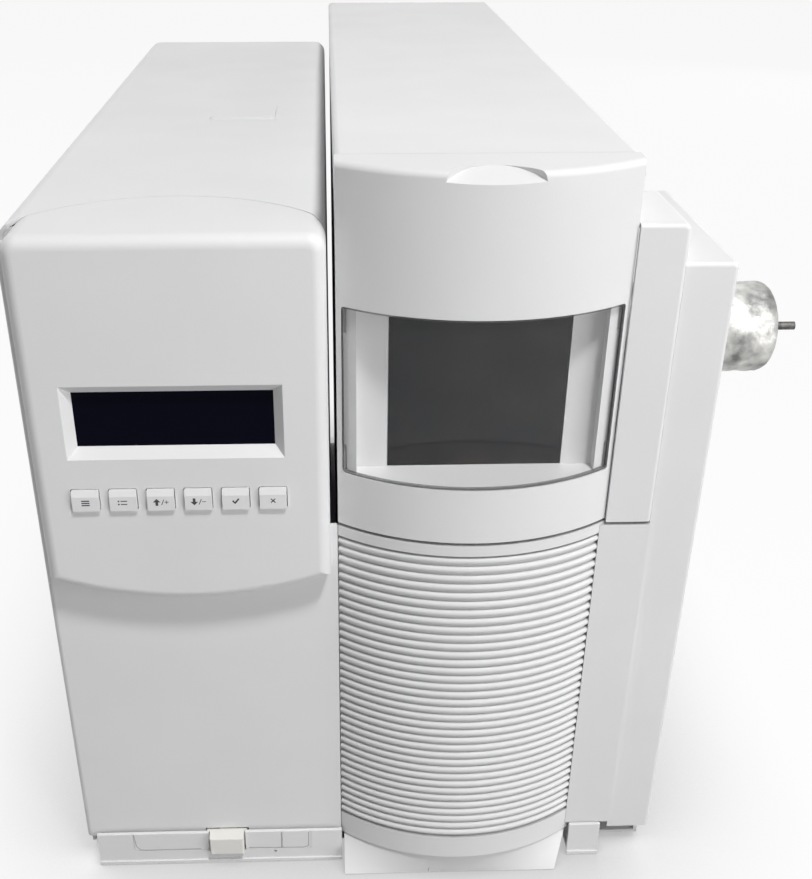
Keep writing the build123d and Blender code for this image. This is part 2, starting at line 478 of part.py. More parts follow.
board_z0, board_z1 = FLOOR_Z + GUIDE_H / 2, FLOOR_Z + MAIN_BOARD_H
with BuildPart() as main_board:
    block(board_x, board_x + BOARD_T, board_y0, board_y1, board_z0, board_z1)
    with BuildSketch(side_on(board_x)):
        with Locations(((board_y0 + board_y1) / 2, (board_z0 + board_z1) / 2)):
            with GridLocations((board_y1 - board_y0) / 5, (board_z1 - board_z0) / 5, 4, 3):
                Rectangle((board_y1 - board_y0) / 12, (board_z1 - board_z0) / 10)
    extrude(amount=-2 * BOARD_T)
finish(main_board, "main_board")

toroid_x, toroid_y = X_L0 + TOROID_X, Y_F + TOROID_Y
supply_y0, supply_y1 = toroid_y + TOROID_R + TOROID_W / 2 + SUPPLY_GAP, Y_L1 - SUPPLY_END
supply_x0, supply_top_z = X_L0 + SUPPLY_INSET, FLOOR_Z + SUPPLY_H
with BuildPart() as power_supply:
    block(supply_x0, supply_x0 + SUPPLY_W, supply_y0, supply_y1, FLOOR_Z, supply_top_z)
    with BuildSketch(Plane.XY.offset(supply_top_z)):
        with Locations((supply_x0 + SUPPLY_W / 2, (supply_y0 + supply_y1) / 2)):
            with GridLocations(VENT_SLOT_PITCH, 0, 5, 1):
                Rectangle(VENT_SLOT_W, supply_y1 - supply_y0 - 2 * VENT_SLOT_PITCH)
    extrude(amount=-VENT_SLOT_D, mode=Mode.SUBTRACT)
finish(power_supply, "power_supply")

with BuildPart() as mains_transformer:
    with BuildSketch(Plane.XZ.offset(-toroid_y)):
        with Locations((toroid_x + TOROID_R, FLOOR_Z + TOROID_H / 2)):
            RectangleRounded(TOROID_W, TOROID_H, TOROID_W / 4)
    revolve(axis=Axis((toroid_x, toroid_y, 0), (0, 0, 1)))
finish(mains_transformer, "mains_transformer")

# ---------------------------------------------------------------- covers of the analyzer module


def bow_outline(side, depth, back_y):
    """Outline with the bowed front, set in by side at its ends and by depth along the bow."""
    radius, half = BOW_R - depth, MID_W / 2 - side
    end_y = BOW_Y - sqrt(radius ** 2 - half ** 2)
    with BuildLine() as outline:
        ThreePointArc((X_MID - half, end_y), (X_MID, BOW_Y - radius), (X_MID + half, end_y))
        Polyline((X_MID + half, end_y), (X_MID + half, back_y), (X_MID - half, back_y), (X_MID - half, end_y))
    return outline.line


def bow_form(side, depth, back_y, z0, z1):
    """Prism over that outline."""
    with BuildPart() as form:
        with BuildSketch(Plane.XY.offset(z0)):
            with BuildLine():
                add(bow_outline(side, depth, back_y))
            make_face()
        extrude(amount=z1 - z0)
    return form.part


cover_back_y, crown_y = Y_F + RETURN_D, Y_F + CROWN_Y
shoulder_y = Y_F - SHOULDER_PROUD
rib_pitch = (RIB_HIGH_Z - RIB_LOW_Z) / RIB_COUNT
bow_start = Plane(origin=(X_MID, BOW_Y, 0),
                  x_dir=(X_M0 - X_MID, Y_F - BOW_Y, 0),
                  z_dir=(Y_F - BOW_Y, X_MID - X_M0, 0))

with BuildPart() as lower_front_cover:
    with BuildSketch(bow_start):
        with BuildLine():
            Polyline((BOW_R, RIB_LOW_Z - RIB_GROOVE / 2), (BOW_R, COVER_Z), (BOW_R - WALL - RIB_DEPTH, COVER_Z),
                     (BOW_R - WALL - RIB_DEPTH, WAIST_Z), (BOW_R, WAIST_Z), (BOW_R, RIB_HIGH_Z + RIB_GROOVE / 2))
            for rib in range(RIB_COUNT):
                low = RIB_LOW_Z + rib * rib_pitch + RIB_GROOVE / 2
                high = low + rib_pitch - RIB_GROOVE
                root = BOW_R - RIB_DEPTH
                Line((root, low - RIB_GROOVE), (root, low))
                ThreePointArc((root, low), (BOW_R, (low + high) / 2), (root, high))
            Line((root, high), (root, high + RIB_GROOVE))
            Line((root, RIB_LOW_Z - RIB_GROOVE / 2), (BOW_R, RIB_LOW_Z - RIB_GROOVE / 2))
            Line((root, RIB_HIGH_Z + RIB_GROOVE / 2), (BOW_R, RIB_HIGH_Z + RIB_GROOVE / 2))
        make_face()
    revolve(axis=Axis((X_MID, BOW_Y, 0), (0, 0, 1)), revolution_arc=2 * BOW_HALF_ANGLE)
    block(X_M0, X_M0 + WALL, Y_F + WALL / 2, cover_back_y, COVER_Z, WAIST_Z)
    block(X_M1 - WALL, X_R1, shoulder_y, shoulder_y + 2 * WALL, SHOULDER_LOW_Z, WAIST_Z - WAIST_DROP)
    block(X_R1 - WALL, X_R1, shoulder_y, cover_back_y, SHOULDER_LOW_Z, WAIST_Z - WAIST_DROP)
    block(X_M0 + WALL, X_M1 - WALL, Y_F + WALL, cover_back_y, WAIST_Z - WALL, WAIST_Z)
finish(lower_front_cover, "lower_front_cover")

plinth_back_y = pan_front_y - SEAM
plinth_x0, plinth_x1 = X_M0 + PLINTH_INSET, X_M1 - PLINTH_INSET
plinth_y0 = Y_F - PLINTH_REACH
with BuildPart() as plinth:
    with BuildSketch(Plane.XY.offset(COVER_Z - SEAM)):
        with BuildLine():
            add(bow_outline(PLINTH_INSET, PLINTH_INSET, plinth_back_y))
        make_face()
    with BuildSketch(Plane.XY.offset(STRIP_LOW_Z)):
        with BuildLine():
            Line((plinth_x0, plinth_y0), (plinth_x1 - PLINTH_CHEEK, plinth_y0))
            Polyline((plinth_x1 - PLINTH_CHEEK, plinth_y0), (plinth_x1, plinth_back_y), (plinth_x0, plinth_back_y),
                     (plinth_x0, plinth_y0))
        make_face()
    loft(ruled=True)
    block(X_M0 + PLINTH_SLOT_X, X_M0 + PLINTH_SLOT_X + SCORE_W, Y_F - BOW_SAG, plinth_y0 + SHEET, STRIP_LOW_Z,
          STRIP_LOW_Z + 2 * SHEET, Mode.SUBTRACT)
finish(plinth, "plinth")

with BuildPart() as window_cover:
    add(bow_form(0, 0, crown_y - SEAM, WAIST_Z + WAIST_GAP, TOP_Z))
    fillet(faces().sort_by(Axis.Z)[-1].edges().sort_by(Axis.Y)[0], LIP_R)
    add(bow_form(WALL, WALL, crown_y, WAIST_Z, TOP_Z - 2 * WALL - PAD_DROP), mode=Mode.SUBTRACT)
    pad_run = BOW_SAG + PAD_Y
    pad_slope = Plane(origin=(X_MID, Y_F - BOW_SAG, TOP_Z - PAD_DROP), x_dir=(1, 0, 0),
                      z_dir=(0, -PAD_DROP, pad_run))
    with BuildSketch(pad_slope):
        with BuildLine():
            ThreePointArc((-PAD_W / 2, -SHEET), (0, sqrt(pad_run ** 2 + PAD_DROP ** 2)), (PAD_W / 2, -SHEET))
            Line((PAD_W / 2, -SHEET), (-PAD_W / 2, -SHEET))
        make_face()
    extrude(amount=2 * PAD_DROP, mode=Mode.SUBTRACT)
    with BuildSketch(facing(Y_F - BOW_SAG)):
        rect(X_M0 + WINDOW_SIDE, X_M1 - WINDOW_SIDE, WINDOW_LOW_Z, WINDOW_HIGH_Z)
        fillet(vertices(), WINDOW_R)
    extrude(amount=-(BOW_SAG + WALL), mode=Mode.SUBTRACT)
finish(window_cover, "window_cover")

insert_back_y = Y_F + INSERT_BACK_Y + WALL
insert_x0, insert_x1 = X_M0 + WINDOW_SIDE + CLEAR, X_M1 - WINDOW_SIDE - CLEAR
glass_low_z = WINDOW_LOW_Z + GLASS_SILL
with BuildPart() as window_insert:
    add(bow_form(WALL + CLEAR, WALL + CLEAR, insert_back_y, WINDOW_LOW_Z - WALL, WINDOW_HIGH_Z + WALL))
    with BuildSketch(facing(Y_F - BOW_SAG)):
        rect(X_M0 + WINDOW_SIDE + INSERT_RIM, X_M1 - WINDOW_SIDE - INSERT_RIM, WINDOW_LOW_Z, WINDOW_HIGH_Z)
    extrude(amount=-(BOW_SAG + INSERT_BACK_Y), mode=Mode.SUBTRACT)
    with BuildSketch(facing(Y_F + INSERT_BACK_Y)):
        rect(X_MID - GLASS_W / 2 - CLEAR, X_MID + GLASS_W / 2 + CLEAR, glass_low_z - CLEAR,
             glass_low_z + GLASS_H + CLEAR)
    extrude(amount=-GLASS_T, mode=Mode.SUBTRACT)
    with BuildSketch(facing(Y_F + INSERT_BACK_Y)):
        rect(X_MID - GLASS_W / 2 + GLASS_LAP, X_MID + GLASS_W / 2 - GLASS_LAP, glass_low_z + GLASS_LAP,
             glass_low_z + GLASS_H - GLASS_LAP)
    extrude(amount=-WALL, mode=Mode.SUBTRACT)
    with BuildSketch(facing(Y_F - BOW_SAG)):
        for slot_x in (insert_x0, insert_x1 - CLIP_SLOT_W):
            for slot_z in (WINDOW_LOW_Z, WINDOW_HIGH_Z - CLIP_SLOT_H):
                rect(slot_x, slot_x + CLIP_SLOT_W, slot_z, slot_z + CLIP_SLOT_H)
    extrude(amount=-(BOW_SAG + INSERT_BACK_Y - SHEET), mode=Mode.SUBTRACT)
finish(window_insert, "window_insert")

with BuildPart() as window_pane:
    add(bow_form(0, CLEAR, Y_F + WALL, WINDOW_LOW_Z, WINDOW_HIGH_Z))
    add(bow_form(-PANE_T, CLEAR + PANE_T, Y_F + 2 * WALL, WINDOW_LOW_Z, WINDOW_HIGH_Z), mode=Mode.SUBTRACT)
    with BuildSketch(facing(Y_F - BOW_SAG)):
        rect(insert_x0, insert_x1, WINDOW_LOW_Z + CLEAR, WINDOW_HIGH_Z - CLEAR)
        fillet(vertices(), WINDOW_R)
    extrude(amount=-(BOW_SAG + 2 * WALL), mode=Mode.INTERSECT)
finish(window_pane, "window_pane")

with BuildPart() as tinted_glass:
    with BuildSketch(facing(Y_F + INSERT_BACK_Y)):
        rect(X_MID - GLASS_W / 2, X_MID + GLASS_W / 2, glass_low_z, glass_low_z + GLASS_H)
    extrude(amount=-GLASS_T)
finish(tinted_glass, "tinted_glass")

with BuildPart() as analyzer_cover:
    with BuildSketch(facing(Y_M1)):
        rect(X_M0, X_M1, LOW_TOP_Z + SEAM, TOP_Z)
        fillet(vertices().group_by(Axis.Y)[-1], LIP_R)
    extrude(amount=MID_D - CROWN_Y)
    fillet(faces().sort_by(Axis.Y)[-1].edges().sort_by(Axis.Z)[-1], LIP_R - SEAM)
    block(X_M0 + WALL, X_M1 - WALL, crown_y + WALL, Y_M1 - WALL, LOW_TOP_Z, TOP_Z - WALL, Mode.SUBTRACT)
finish(analyzer_cover, "analyzer_cover")

rear_y = Y_M1 - SHEET - SEAM
shelf_back_y = Y_F + MANIFOLD_Y + MANIFOLD_L + SHELF_BEYOND
with BuildPart() as centre_wall:
    with BuildSketch(side_on(X_M0)):
        rect(crown_y + SEAM, rear_y, FLOOR_Z, LOW_TOP_Z)
    extrude(amount=SHEET)
    block(X_M0 + SHEET, X_M0 + GUIDE_H, shelf_back_y + GUIDE_H, rear_y - GUIDE_H, FLOOR_Z, FLOOR_Z + SHEET)
finish(centre_wall, "centre_wall")

notch_z = AXIS_Z - NOTCH_R
with BuildPart() as shoulder_cover:
    with BuildSketch(facing(rear_y)):
        rect(X_M1 + SEAM, X_R1, WAIST_Z + WAIST_GAP - WAIST_DROP, LOW_TOP_Z)
        fillet(vertices().group_by(Axis.Y)[-1].sort_by(Axis.X)[-1], LIP_R)
    extrude(amount=rear_y - shoulder_y)
    fillet(faces().sort_by(Axis.Y)[0].edges().sort_by(Axis.X)[-1], SHEET)
    block(X_M1, X_R1 - WALL, shoulder_y + WALL, Y_M1, WAIST_Z, LOW_TOP_Z - WALL, Mode.SUBTRACT)
    block(X_M1, X_R2, Y_F + SHOULDER_TOP_D, Y_F + NOTCH_Y1, notch_z, TOP_Z, Mode.SUBTRACT)
finish(shoulder_cover, "shoulder_cover")

side_y = Y_F + SIDE_SETBACK
with BuildPart() as side_cover:
    with BuildSketch(facing(rear_y)):
        rect(X_R1 + SEAM, X_R2, SIDE_LOW_Z, SIDE_TOP_Z)
        fillet(vertices().group_by(Axis.Y)[-1].sort_by(Axis.X)[-1], LIP_R)
    extrude(amount=rear_y - side_y)
    fillet(faces().sort_by(Axis.Y)[0].edges().sort_by(Axis.X)[-1], SHEET)
    block(X_R1, X_R2 - WALL, side_y + WALL, Y_M1, FLOOR_Z, SIDE_TOP_Z - WALL, Mode.SUBTRACT)
    block(X_R1, X_R2 + WALL, Y_F + SIDE_NOTCH_Y0, Y_F + NOTCH_Y1, notch_z, TOP_Z, Mode.SUBTRACT)
finish(side_cover, "side_cover")

with BuildPart() as rear_cover:
    with BuildSketch(facing(Y_M1)):
        rect(X_M0, X_R1, FLOOR_Z, LOW_TOP_Z)
        rect(X_R1, X_R2, FLOOR_Z, SIDE_TOP_Z)
        with Locations((X_AXIS, FORELINE_Z)):
            Circle(BARB_R + CLEAR, mode=Mode.SUBTRACT)
        with Locations((X_AXIS, AXIS_Z)):
            with GridLocations(LOUVRE_PITCH_X, LOUVRE_PITCH_Z, 2, 9):
                Rectangle(LOUVRE_W, LOUVRE_H, mode=Mode.SUBTRACT)
    extrude(amount=SHEET)
finish(rear_cover, "rear_cover")

left_screws = [(x, z) for x in (X_L0 + SCREW_INSET, X_L1 - SCREW_INSET) for z in (SCREW_Z, LOW_TOP_Z - SCREW_Z)]
rear_screws = [(x, z) for x in (X_M0 + SCREW_INSET, X_R2 - SCREW_INSET) for z in (SCREW_Z, SIDE_TOP_Z - SCREW_Z)]
with BuildPart() as cover_screws:
    for screw_y, places in ((Y_L1, left_screws), (Y_M1, rear_screws)):
        with BuildSketch(facing(screw_y)):
            with Locations(places):
                Circle(SCREW_R)
        extrude(amount=-SCREW_H)
finish(cover_screws, "cover_screws")

# ---------------------------------------------------------------- vacuum system
shelf_x0, shelf_x1 = X_M0 + SHEET + CLEAR, X_M1 - CLEAR
manifold_x0, manifold_x1 = X_AXIS - MANIFOLD_W / 2, X_AXIS + MANIFOLD_W / 2
manifold_y0, manifold_y1 = Y_F + MANIFOLD_Y, Y_F + MANIFOLD_Y + MANIFOLD_L
manifold_top_z = 2 * AXIS_Z - SHELF_Z
turbo_y = Y_F + TURBO_Y

with BuildPart() as analyzer_shelf:
    with BuildSketch(facing(shelf_back_y)):
        rect(shelf_x0, shelf_x1, FLOOR_Z, SHELF_Z)
        fillet(vertices().group_by(Axis.Y)[-1], 2 * SHEET)
        rect(shelf_x0 + SHEET, shelf_x1 - SHEET, FLOOR_Z, SHELF_Z - SHEET, Mode.SUBTRACT)
    extrude(amount=shelf_back_y - Y_F - SHELF_Y0)
    rod_z(X_AXIS, turbo_y, SHELF_Z - 2 * SHEET, SHELF_Z + SHEET, TURBO_FLANGE_R + SEAM, Mode.SUBTRACT)
finish(analyzer_shelf, "analyzer_shelf")

interface_y = Y_F + INTERFACE_Y
plate_x0 = manifold_x0 - SIDE_PLATE_T
thumb_z = manifold_top_z - THUMB_R
thumb_places = [(manifold_y0 + 2 * THUMB_R, thumb_z), (manifold_y1 - 2 * THUMB_R, thumb_z)]
vent_at = (X_M0 + VENT_X, VENT_Z)
with BuildPart() as vacuum_manifold:
    block(manifold_x0, manifold_x1, manifold_y0, manifold_y1, SHELF_Z, manifold_top_z)
    fillet(edges().filter_by(Axis.Y).group_by(Axis.X)[-1], MANIFOLD_WALL / 2)
    block(manifold_x0, manifold_x1 - MANIFOLD_WALL, manifold_y0 + MANIFOLD_WALL, manifold_y1 - MANIFOLD_WALL,
          SHELF_Z + MANIFOLD_WALL, manifold_top_z - MANIFOLD_WALL, Mode.SUBTRACT)
    rod_y(X_AXIS, VIEWPORT_Z, manifold_y0, manifold_y0 + 2 * MANIFOLD_WALL, VIEWPORT_R, Mode.SUBTRACT)
    rod_z(X_AXIS, turbo_y, SHELF_Z, SHELF_Z + 2 * MANIFOLD_WALL, TURBO_BORE_R, Mode.SUBTRACT)
    rod_x(interface_y, AXIS_Z, manifold_x1 - 2 * MANIFOLD_WALL, manifold_x1, TUBE_R + CLEAR, Mode.SUBTRACT)
    rod_y(vent_at[0], vent_at[1], manifold_y0, manifold_y0 + 2 * MANIFOLD_WALL, VENT_STEM_R + BEARING_CLEAR,
          Mode.SUBTRACT)
finish(vacuum_manifold, "vacuum_manifold")

with BuildPart() as viewport_glass:
    rod_y(X_AXIS, VIEWPORT_Z, manifold_y0 - VIEWPORT_LAP, manifold_y0, VIEWPORT_R + VIEWPORT_LAP)
finish(viewport_glass, "viewport_glass")

with BuildPart() as viewport_ring:
    with BuildSketch(facing(manifold_y0)):
        with Locations((X_AXIS, VIEWPORT_Z)):
            Circle(VIEWPORT_RING_R)
            Circle(VIEWPORT_R + VIEWPORT_LAP + CLEAR, mode=Mode.SUBTRACT)
    extrude(amount=VIEWPORT_LAP)
    with BuildSketch(facing(manifold_y0 - VIEWPORT_LAP)):
        with Locations((X_AXIS, VIEWPORT_Z)):
            Circle(VIEWPORT_RING_R)
            Circle(VIEWPORT_R, mode=Mode.SUBTRACT)
    extrude(amount=VIEWPORT_RING_T - VIEWPORT_LAP)
finish(viewport_ring, "viewport_ring")

with BuildPart() as vent_valve_knob:
    with BuildSketch(facing(manifold_y0 - CLEAR)):
        with Locations(vent_at):
            Circle(VENT_R)
            with PolarLocations(VENT_R + VENT_GRIP_R / 2, 8):
                Circle(VENT_GRIP_R, mode=Mode.SUBTRACT)
    extrude(amount=VENT_L)
    rod_y(vent_at[0], vent_at[1], manifold_y0 - CLEAR, manifold_y0 + MANIFOLD_WALL, VENT_STEM_R)
finish(vent_valve_knob, "vent_valve_knob")

with BuildPart() as side_plate:
    block(plate_x0, manifold_x0, manifold_y0 - SIDE_PLATE_LIP, manifold_y1 + SIDE_PLATE_LIP, SHELF_Z + CLEAR,
          manifold_top_z + SIDE_PLATE_LIP)
    fillet(edges().filter_by(Axis.X), SIDE_PLATE_LIP)
    with BuildSketch(side_on(plate_x0)):
        with Locations(thumb_places):
            Circle(THUMB_SHANK_R + CLEAR)
    extrude(amount=SIDE_PLATE_T, mode=Mode.SUBTRACT)
finish(side_plate, "side_plate")

with BuildPart() as thumbscrews:
    with BuildSketch(side_on(plate_x0)):
        with Locations(thumb_places):
            RegularPolygon(THUMB_R, 16)
    extrude(amount=-THUMB_L)
    with BuildSketch(side_on(plate_x0)):
        with Locations(thumb_places):
            Circle(THUMB_SHANK_R)
    extrude(amount=SIDE_PLATE_T)
finish(thumbscrews, "thumbscrews")

side_board_l, side_board_h, standoff_l, standoff_r = MANIFOLD_L * 0.7, MANIFOLD_W * 0.7, 4.0, 3.0
side_board_at = ((manifold_y0 + manifold_y1) / 2, AXIS_Z - SIDE_PLATE_LIP)
with BuildPart() as side_board:
    with BuildSketch(side_on(plate_x0 - standoff_l)):
        with Locations(side_board_at):
            Rectangle(side_board_l, side_board_h)
    extrude(amount=-BOARD_T)
    with BuildSketch(side_on(plate_x0)):
        with Locations(side_board_at):
            with GridLocations(side_board_l - 4 * standoff_r, side_board_h - 4 * standoff_r, 2, 2):
                Circle(standoff_r)
    extrude(amount=-standoff_l)
finish(side_board, "side_board")

source_y = interface_y - SOURCE_AHEAD
quad_y = source_y + SOURCE_L + QUAD_GAP
detector_y = manifold_y1 - DETECTOR_INSET
quad_l = detector_y - QUAD_GAP - quad_y
mount_places = [source_y + SOURCE_L, quad_y + MOUNT_INSET + MOUNT_T, quad_y + quad_l - MOUNT_INSET]
with BuildPart() as analyzer_mounts:
    for mount_y in mount_places:
        with BuildSketch(facing(mount_y)):
            rect(manifold_x0, X_AXIS, AXIS_Z - MOUNT_FOOT / 2, AXIS_Z + MOUNT_FOOT / 2)
            with Locations((X_AXIS, AXIS_Z)):
                Circle(MOUNT_R)
                Circle(QUAD_R + BEARING_CLEAR, mode=Mode.SUBTRACT)
        extrude(amount=MOUNT_T)
finish(analyzer_mounts, "analyzer_mounts")

filament_top_z, filament_low_z = AXIS_Z + SOURCE_R - FILAMENT_SINK, AXIS_Z - SOURCE_R + FILAMENT_SINK
with BuildPart() as ion_source:
    rod_y(X_AXIS, AXIS_Z, source_y, source_y + SOURCE_L, SOURCE_R)
    block(X_AXIS - SOURCE_R, X_AXIS + SOURCE_R, source_y, source_y + FILAMENT_FLAT_L, filament_top_z,
          AXIS_Z + SOURCE_R, Mode.SUBTRACT)
    block(X_AXIS - SOURCE_R, X_AXIS + SOURCE_R, source_y, source_y + FILAMENT_FLAT_L, AXIS_Z - SOURCE_R,
          filament_low_z, Mode.SUBTRACT)
    rod_x(interface_y, AXIS_Z, X_AXIS, X_AXIS + SOURCE_R, TUBE_R + CLEAR, Mode.SUBTRACT)
finish(ion_source, "ion_source")

with BuildPart() as filaments:
    for filament_z in (filament_top_z, filament_low_z - FILAMENT_H):
        block(X_AXIS - FILAMENT_W / 2, X_AXIS + FILAMENT_W / 2, source_y + FILAMENT_SINK,
              source_y + FILAMENT_FLAT_L - FILAMENT_SINK, filament_z, filament_z + FILAMENT_H)
finish(filaments, "filaments")

rod_circle_r = QUAD_FIELD_R + QUAD_ROD_R
with BuildPart() as quadrupole:
    with BuildSketch(facing(quad_y + quad_l)):
        with Locations((X_AXIS, AXIS_Z)):
            Circle(QUAD_R)
            Circle(rod_circle_r - SHEET, mode=Mode.SUBTRACT)
    extrude(amount=quad_l)
    with BuildSketch(facing(quad_y + quad_l)):
        with Locations((X_AXIS, AXIS_Z)):
            with PolarLocations(rod_circle_r - SHEET, 4):
                Circle(QUAD_ROD_R)
            Circle(QUAD_R - SHEET, mode=Mode.INTERSECT)
    extrude(amount=quad_l)
finish(quadrupole, "quadrupole")

with BuildPart() as detector:
    plate_x1, arm_y = manifold_x0 + DETECTOR_PLATE_T, detector_y + DETECTOR_ARM_Y
    block(manifold_x0, plate_x1, detector_y, detector_y + DETECTOR_L, AXIS_Z - DETECTOR_PLATE / 2,
          AXIS_Z + DETECTOR_PLATE / 2)
    block(plate_x1, X_AXIS, arm_y, arm_y + DETECTOR_ARM, AXIS_Z - DETECTOR_ARM / 2, AXIS_Z + DETECTOR_ARM / 2)
    rod_y(X_AXIS, AXIS_Z, detector_y, detector_y + DETECTOR_L, DETECTOR_R)
    with BuildSketch(facing(detector_y)):
        with Locations((X_AXIS, AXIS_Z)):
            Circle(DETECTOR_R - WALL)
    extrude(amount=-DETECTOR_MOUTH_D, taper=DETECTOR_TAPER, mode=Mode.SUBTRACT)
finish(detector, "detector")

turbo_top_z, rotor_low_z = SHELF_Z, TURBO_LOW_Z + TURBO_FLOOR_T
with BuildPart() as turbo_housing:
    with BuildSketch(Plane.XZ.offset(-turbo_y)):
        with BuildLine():
            Polyline((X_AXIS, TURBO_LOW_Z), (X_AXIS + TURBO_R, TURBO_LOW_Z),
                     (X_AXIS + TURBO_R, turbo_top_z - TURBO_FLANGE_T),
                     (X_AXIS + TURBO_FLANGE_R, turbo_top_z - TURBO_FLANGE_T), (X_AXIS + TURBO_FLANGE_R, turbo_top_z),
                     (X_AXIS + TURBO_BORE_R, turbo_top_z), (X_AXIS + TURBO_BORE_R, rotor_low_z), (X_AXIS, rotor_low_z),
                     close=True)
        make_face()
    revolve(axis=Axis((X_AXIS, turbo_y, 0), (0, 0, 1)))
    block(X_AXIS - TURBO_PORT_W / 2, X_AXIS + TURBO_PORT_W / 2, turbo_y + TURBO_BORE_R + SHEET,
          turbo_y + TURBO_FLANGE_R, FORELINE_Z - TURBO_PORT_W / 2, FORELINE_Z + TURBO_PORT_W / 2)
    rod_z(X_AXIS, turbo_y, rotor_low_z - BEARING_L, rotor_low_z, BEARING_R + BEARING_CLEAR, Mode.SUBTRACT)
finish(turbo_housing, "turbo_housing")

stage_pitch = (turbo_top_z - rotor_low_z - TURBO_FLANGE_T) / ROTOR_STAGES
with BuildPart() as turbo_rotor:
    rod_z(X_AXIS, turbo_y, rotor_low_z + SHEET, turbo_top_z - TURBO_FLANGE_T, ROTOR_HUB_R)
    rod_z(X_AXIS, turbo_y, rotor_low_z - BEARING_L + CLEAR, rotor_low_z + SHEET, BEARING_R)
    for stage in range(ROTOR_STAGES):
        with BuildSketch(Plane.XY.offset(rotor_low_z + BLADE_H + stage * stage_pitch)):
            with Locations((X_AXIS, turbo_y)):
                with PolarLocations((ROTOR_R + ROTOR_HUB_R) / 2 - SHEET / 2, ROTOR_BLADES):
                    Rectangle(ROTOR_R - ROTOR_HUB_R, BLADE_W)
        extrude(amount=BLADE_H)
finish(turbo_rotor, "turbo_rotor")

with BuildPart() as foreline_tube:
    rod_y(X_AXIS, FORELINE_Z, turbo_y + TURBO_FLANGE_R, Y_M1 + BARB_REACH, FORELINE_R)
    for barb_y in (Y_M1 + BARB_REACH - 2 * BARB_PITCH, Y_M1 + BARB_REACH - BARB_PITCH):
        rod_y(X_AXIS, FORELINE_Z, barb_y, barb_y + BARB_W, BARB_R)
    rod_y(X_AXIS, FORELINE_Z, turbo_y + TURBO_FLANGE_R, Y_M1 + BARB_REACH, FORELINE_BORE_R, Mode.SUBTRACT)
finish(foreline_tube, "foreline_tube")

controller_x, controller_y = X_M0 + CONTROLLER_X, Y_F + CONTROLLER_Y
controller_top_z = FLOOR_Z + CONTROLLER_H
with BuildPart() as turbo_controller:
    block(controller_x, controller_x + CONTROLLER_W, controller_y, controller_y + CONTROLLER_L, FLOOR_Z,
          controller_top_z)
    with BuildSketch(Plane.XY.offset(controller_top_z)):
        with Locations((controller_x + CONTROLLER_W / 2, controller_y + CONTROLLER_L / 2)):
            with GridLocations(0, VENT_SLOT_PITCH, 1, 6):
                Rectangle(CONTROLLER_W - 2 * VENT_SLOT_PITCH / 2, VENT_SLOT_W)
    extrude(amount=-VENT_SLOT_D, mode=Mode.SUBTRACT)
finish(turbo_controller, "turbo_controller")

gauge_z, gauge_y = AXIS_Z + GAUGE_RISE, manifold_y1 + GAUGE_FLANGE_T
with BuildPart() as ion_gauge:
    rod_y(X_AXIS, gauge_z, manifold_y1, gauge_y, GAUGE_FLANGE_R)
    rod_y(X_AXIS, gauge_z, gauge_y, gauge_y + GAUGE_L, GAUGE_R)
finish(ion_gauge, "ion_gauge")

# ---------------------------------------------------------------- interface to the gas chromatograph
sleeve_x0, sleeve_x1 = manifold_x1 + INTERFACE_FLANGE_T, X_R2 + SLEEVE_REACH
with BuildPart() as interface_flange:
    rod_x(interface_y, AXIS_Z, manifold_x1, sleeve_x0, INTERFACE_FLANGE_R)
    rod_x(interface_y, AXIS_Z, manifold_x1, sleeve_x0, TUBE_R + CLEAR, Mode.SUBTRACT)
finish(interface_flange, "interface_flange")

with BuildPart() as interface_tube:
    rod_x(interface_y, AXIS_Z, X_AXIS + SOURCE_R - TUBE_SINK, sleeve_x1 + TIP_REACH, TUBE_R)
    rod_x(interface_y, AXIS_Z, sleeve_x0, sleeve_x1 - WALL, HEATER_R)
finish(interface_tube, "interface_tube")

with BuildPart() as interface_sleeve:
    with BuildSketch(side_on(sleeve_x0)):
        with Locations((interface_y, AXIS_Z)):
            Circle(SLEEVE_R)
            Circle(HEATER_R + CLEAR, mode=Mode.SUBTRACT)
    extrude(amount=sleeve_x1 - sleeve_x0)
    with BuildSketch(side_on(sleeve_x1 - WALL)):
        with Locations((interface_y, AXIS_Z)):
            Circle(HEATER_R + WALL)
            Circle(TUBE_R + CLEAR, mode=Mode.SUBTRACT)
    extrude(amount=WALL)
    fillet(faces().sort_by(Axis.X)[-1].edges().sort_by(SortBy.RADIUS)[-1], SLEEVE_FILLET)
finish(interface_sleeve, "interface_sleeve")
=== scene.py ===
"""Looks of the benchtop mass spectrometer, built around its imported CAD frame. Metres, +Z up, front at -Y."""
import json
import math

import bmesh
import bpy
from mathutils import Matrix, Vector, noise


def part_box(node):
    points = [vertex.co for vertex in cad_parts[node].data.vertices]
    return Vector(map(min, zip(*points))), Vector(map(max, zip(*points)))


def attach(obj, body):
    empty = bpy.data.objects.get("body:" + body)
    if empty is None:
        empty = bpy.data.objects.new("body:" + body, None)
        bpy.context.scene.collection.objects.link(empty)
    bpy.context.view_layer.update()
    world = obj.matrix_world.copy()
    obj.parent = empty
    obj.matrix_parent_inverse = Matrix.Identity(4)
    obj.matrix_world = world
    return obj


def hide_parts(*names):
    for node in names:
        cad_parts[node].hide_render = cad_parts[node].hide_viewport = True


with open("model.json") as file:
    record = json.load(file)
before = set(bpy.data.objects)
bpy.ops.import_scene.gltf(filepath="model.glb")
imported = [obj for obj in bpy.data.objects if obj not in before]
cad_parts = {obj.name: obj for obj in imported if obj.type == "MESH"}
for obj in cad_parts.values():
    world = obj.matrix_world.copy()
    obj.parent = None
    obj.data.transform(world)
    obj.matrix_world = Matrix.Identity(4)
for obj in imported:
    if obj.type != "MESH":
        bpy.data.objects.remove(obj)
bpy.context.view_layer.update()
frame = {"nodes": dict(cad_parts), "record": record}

# ---------------------------------------------------------------- places read from the frame
MM = 0.001
cover_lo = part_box("left_cover")[0]        # left, front and lower corner of the electronics cover
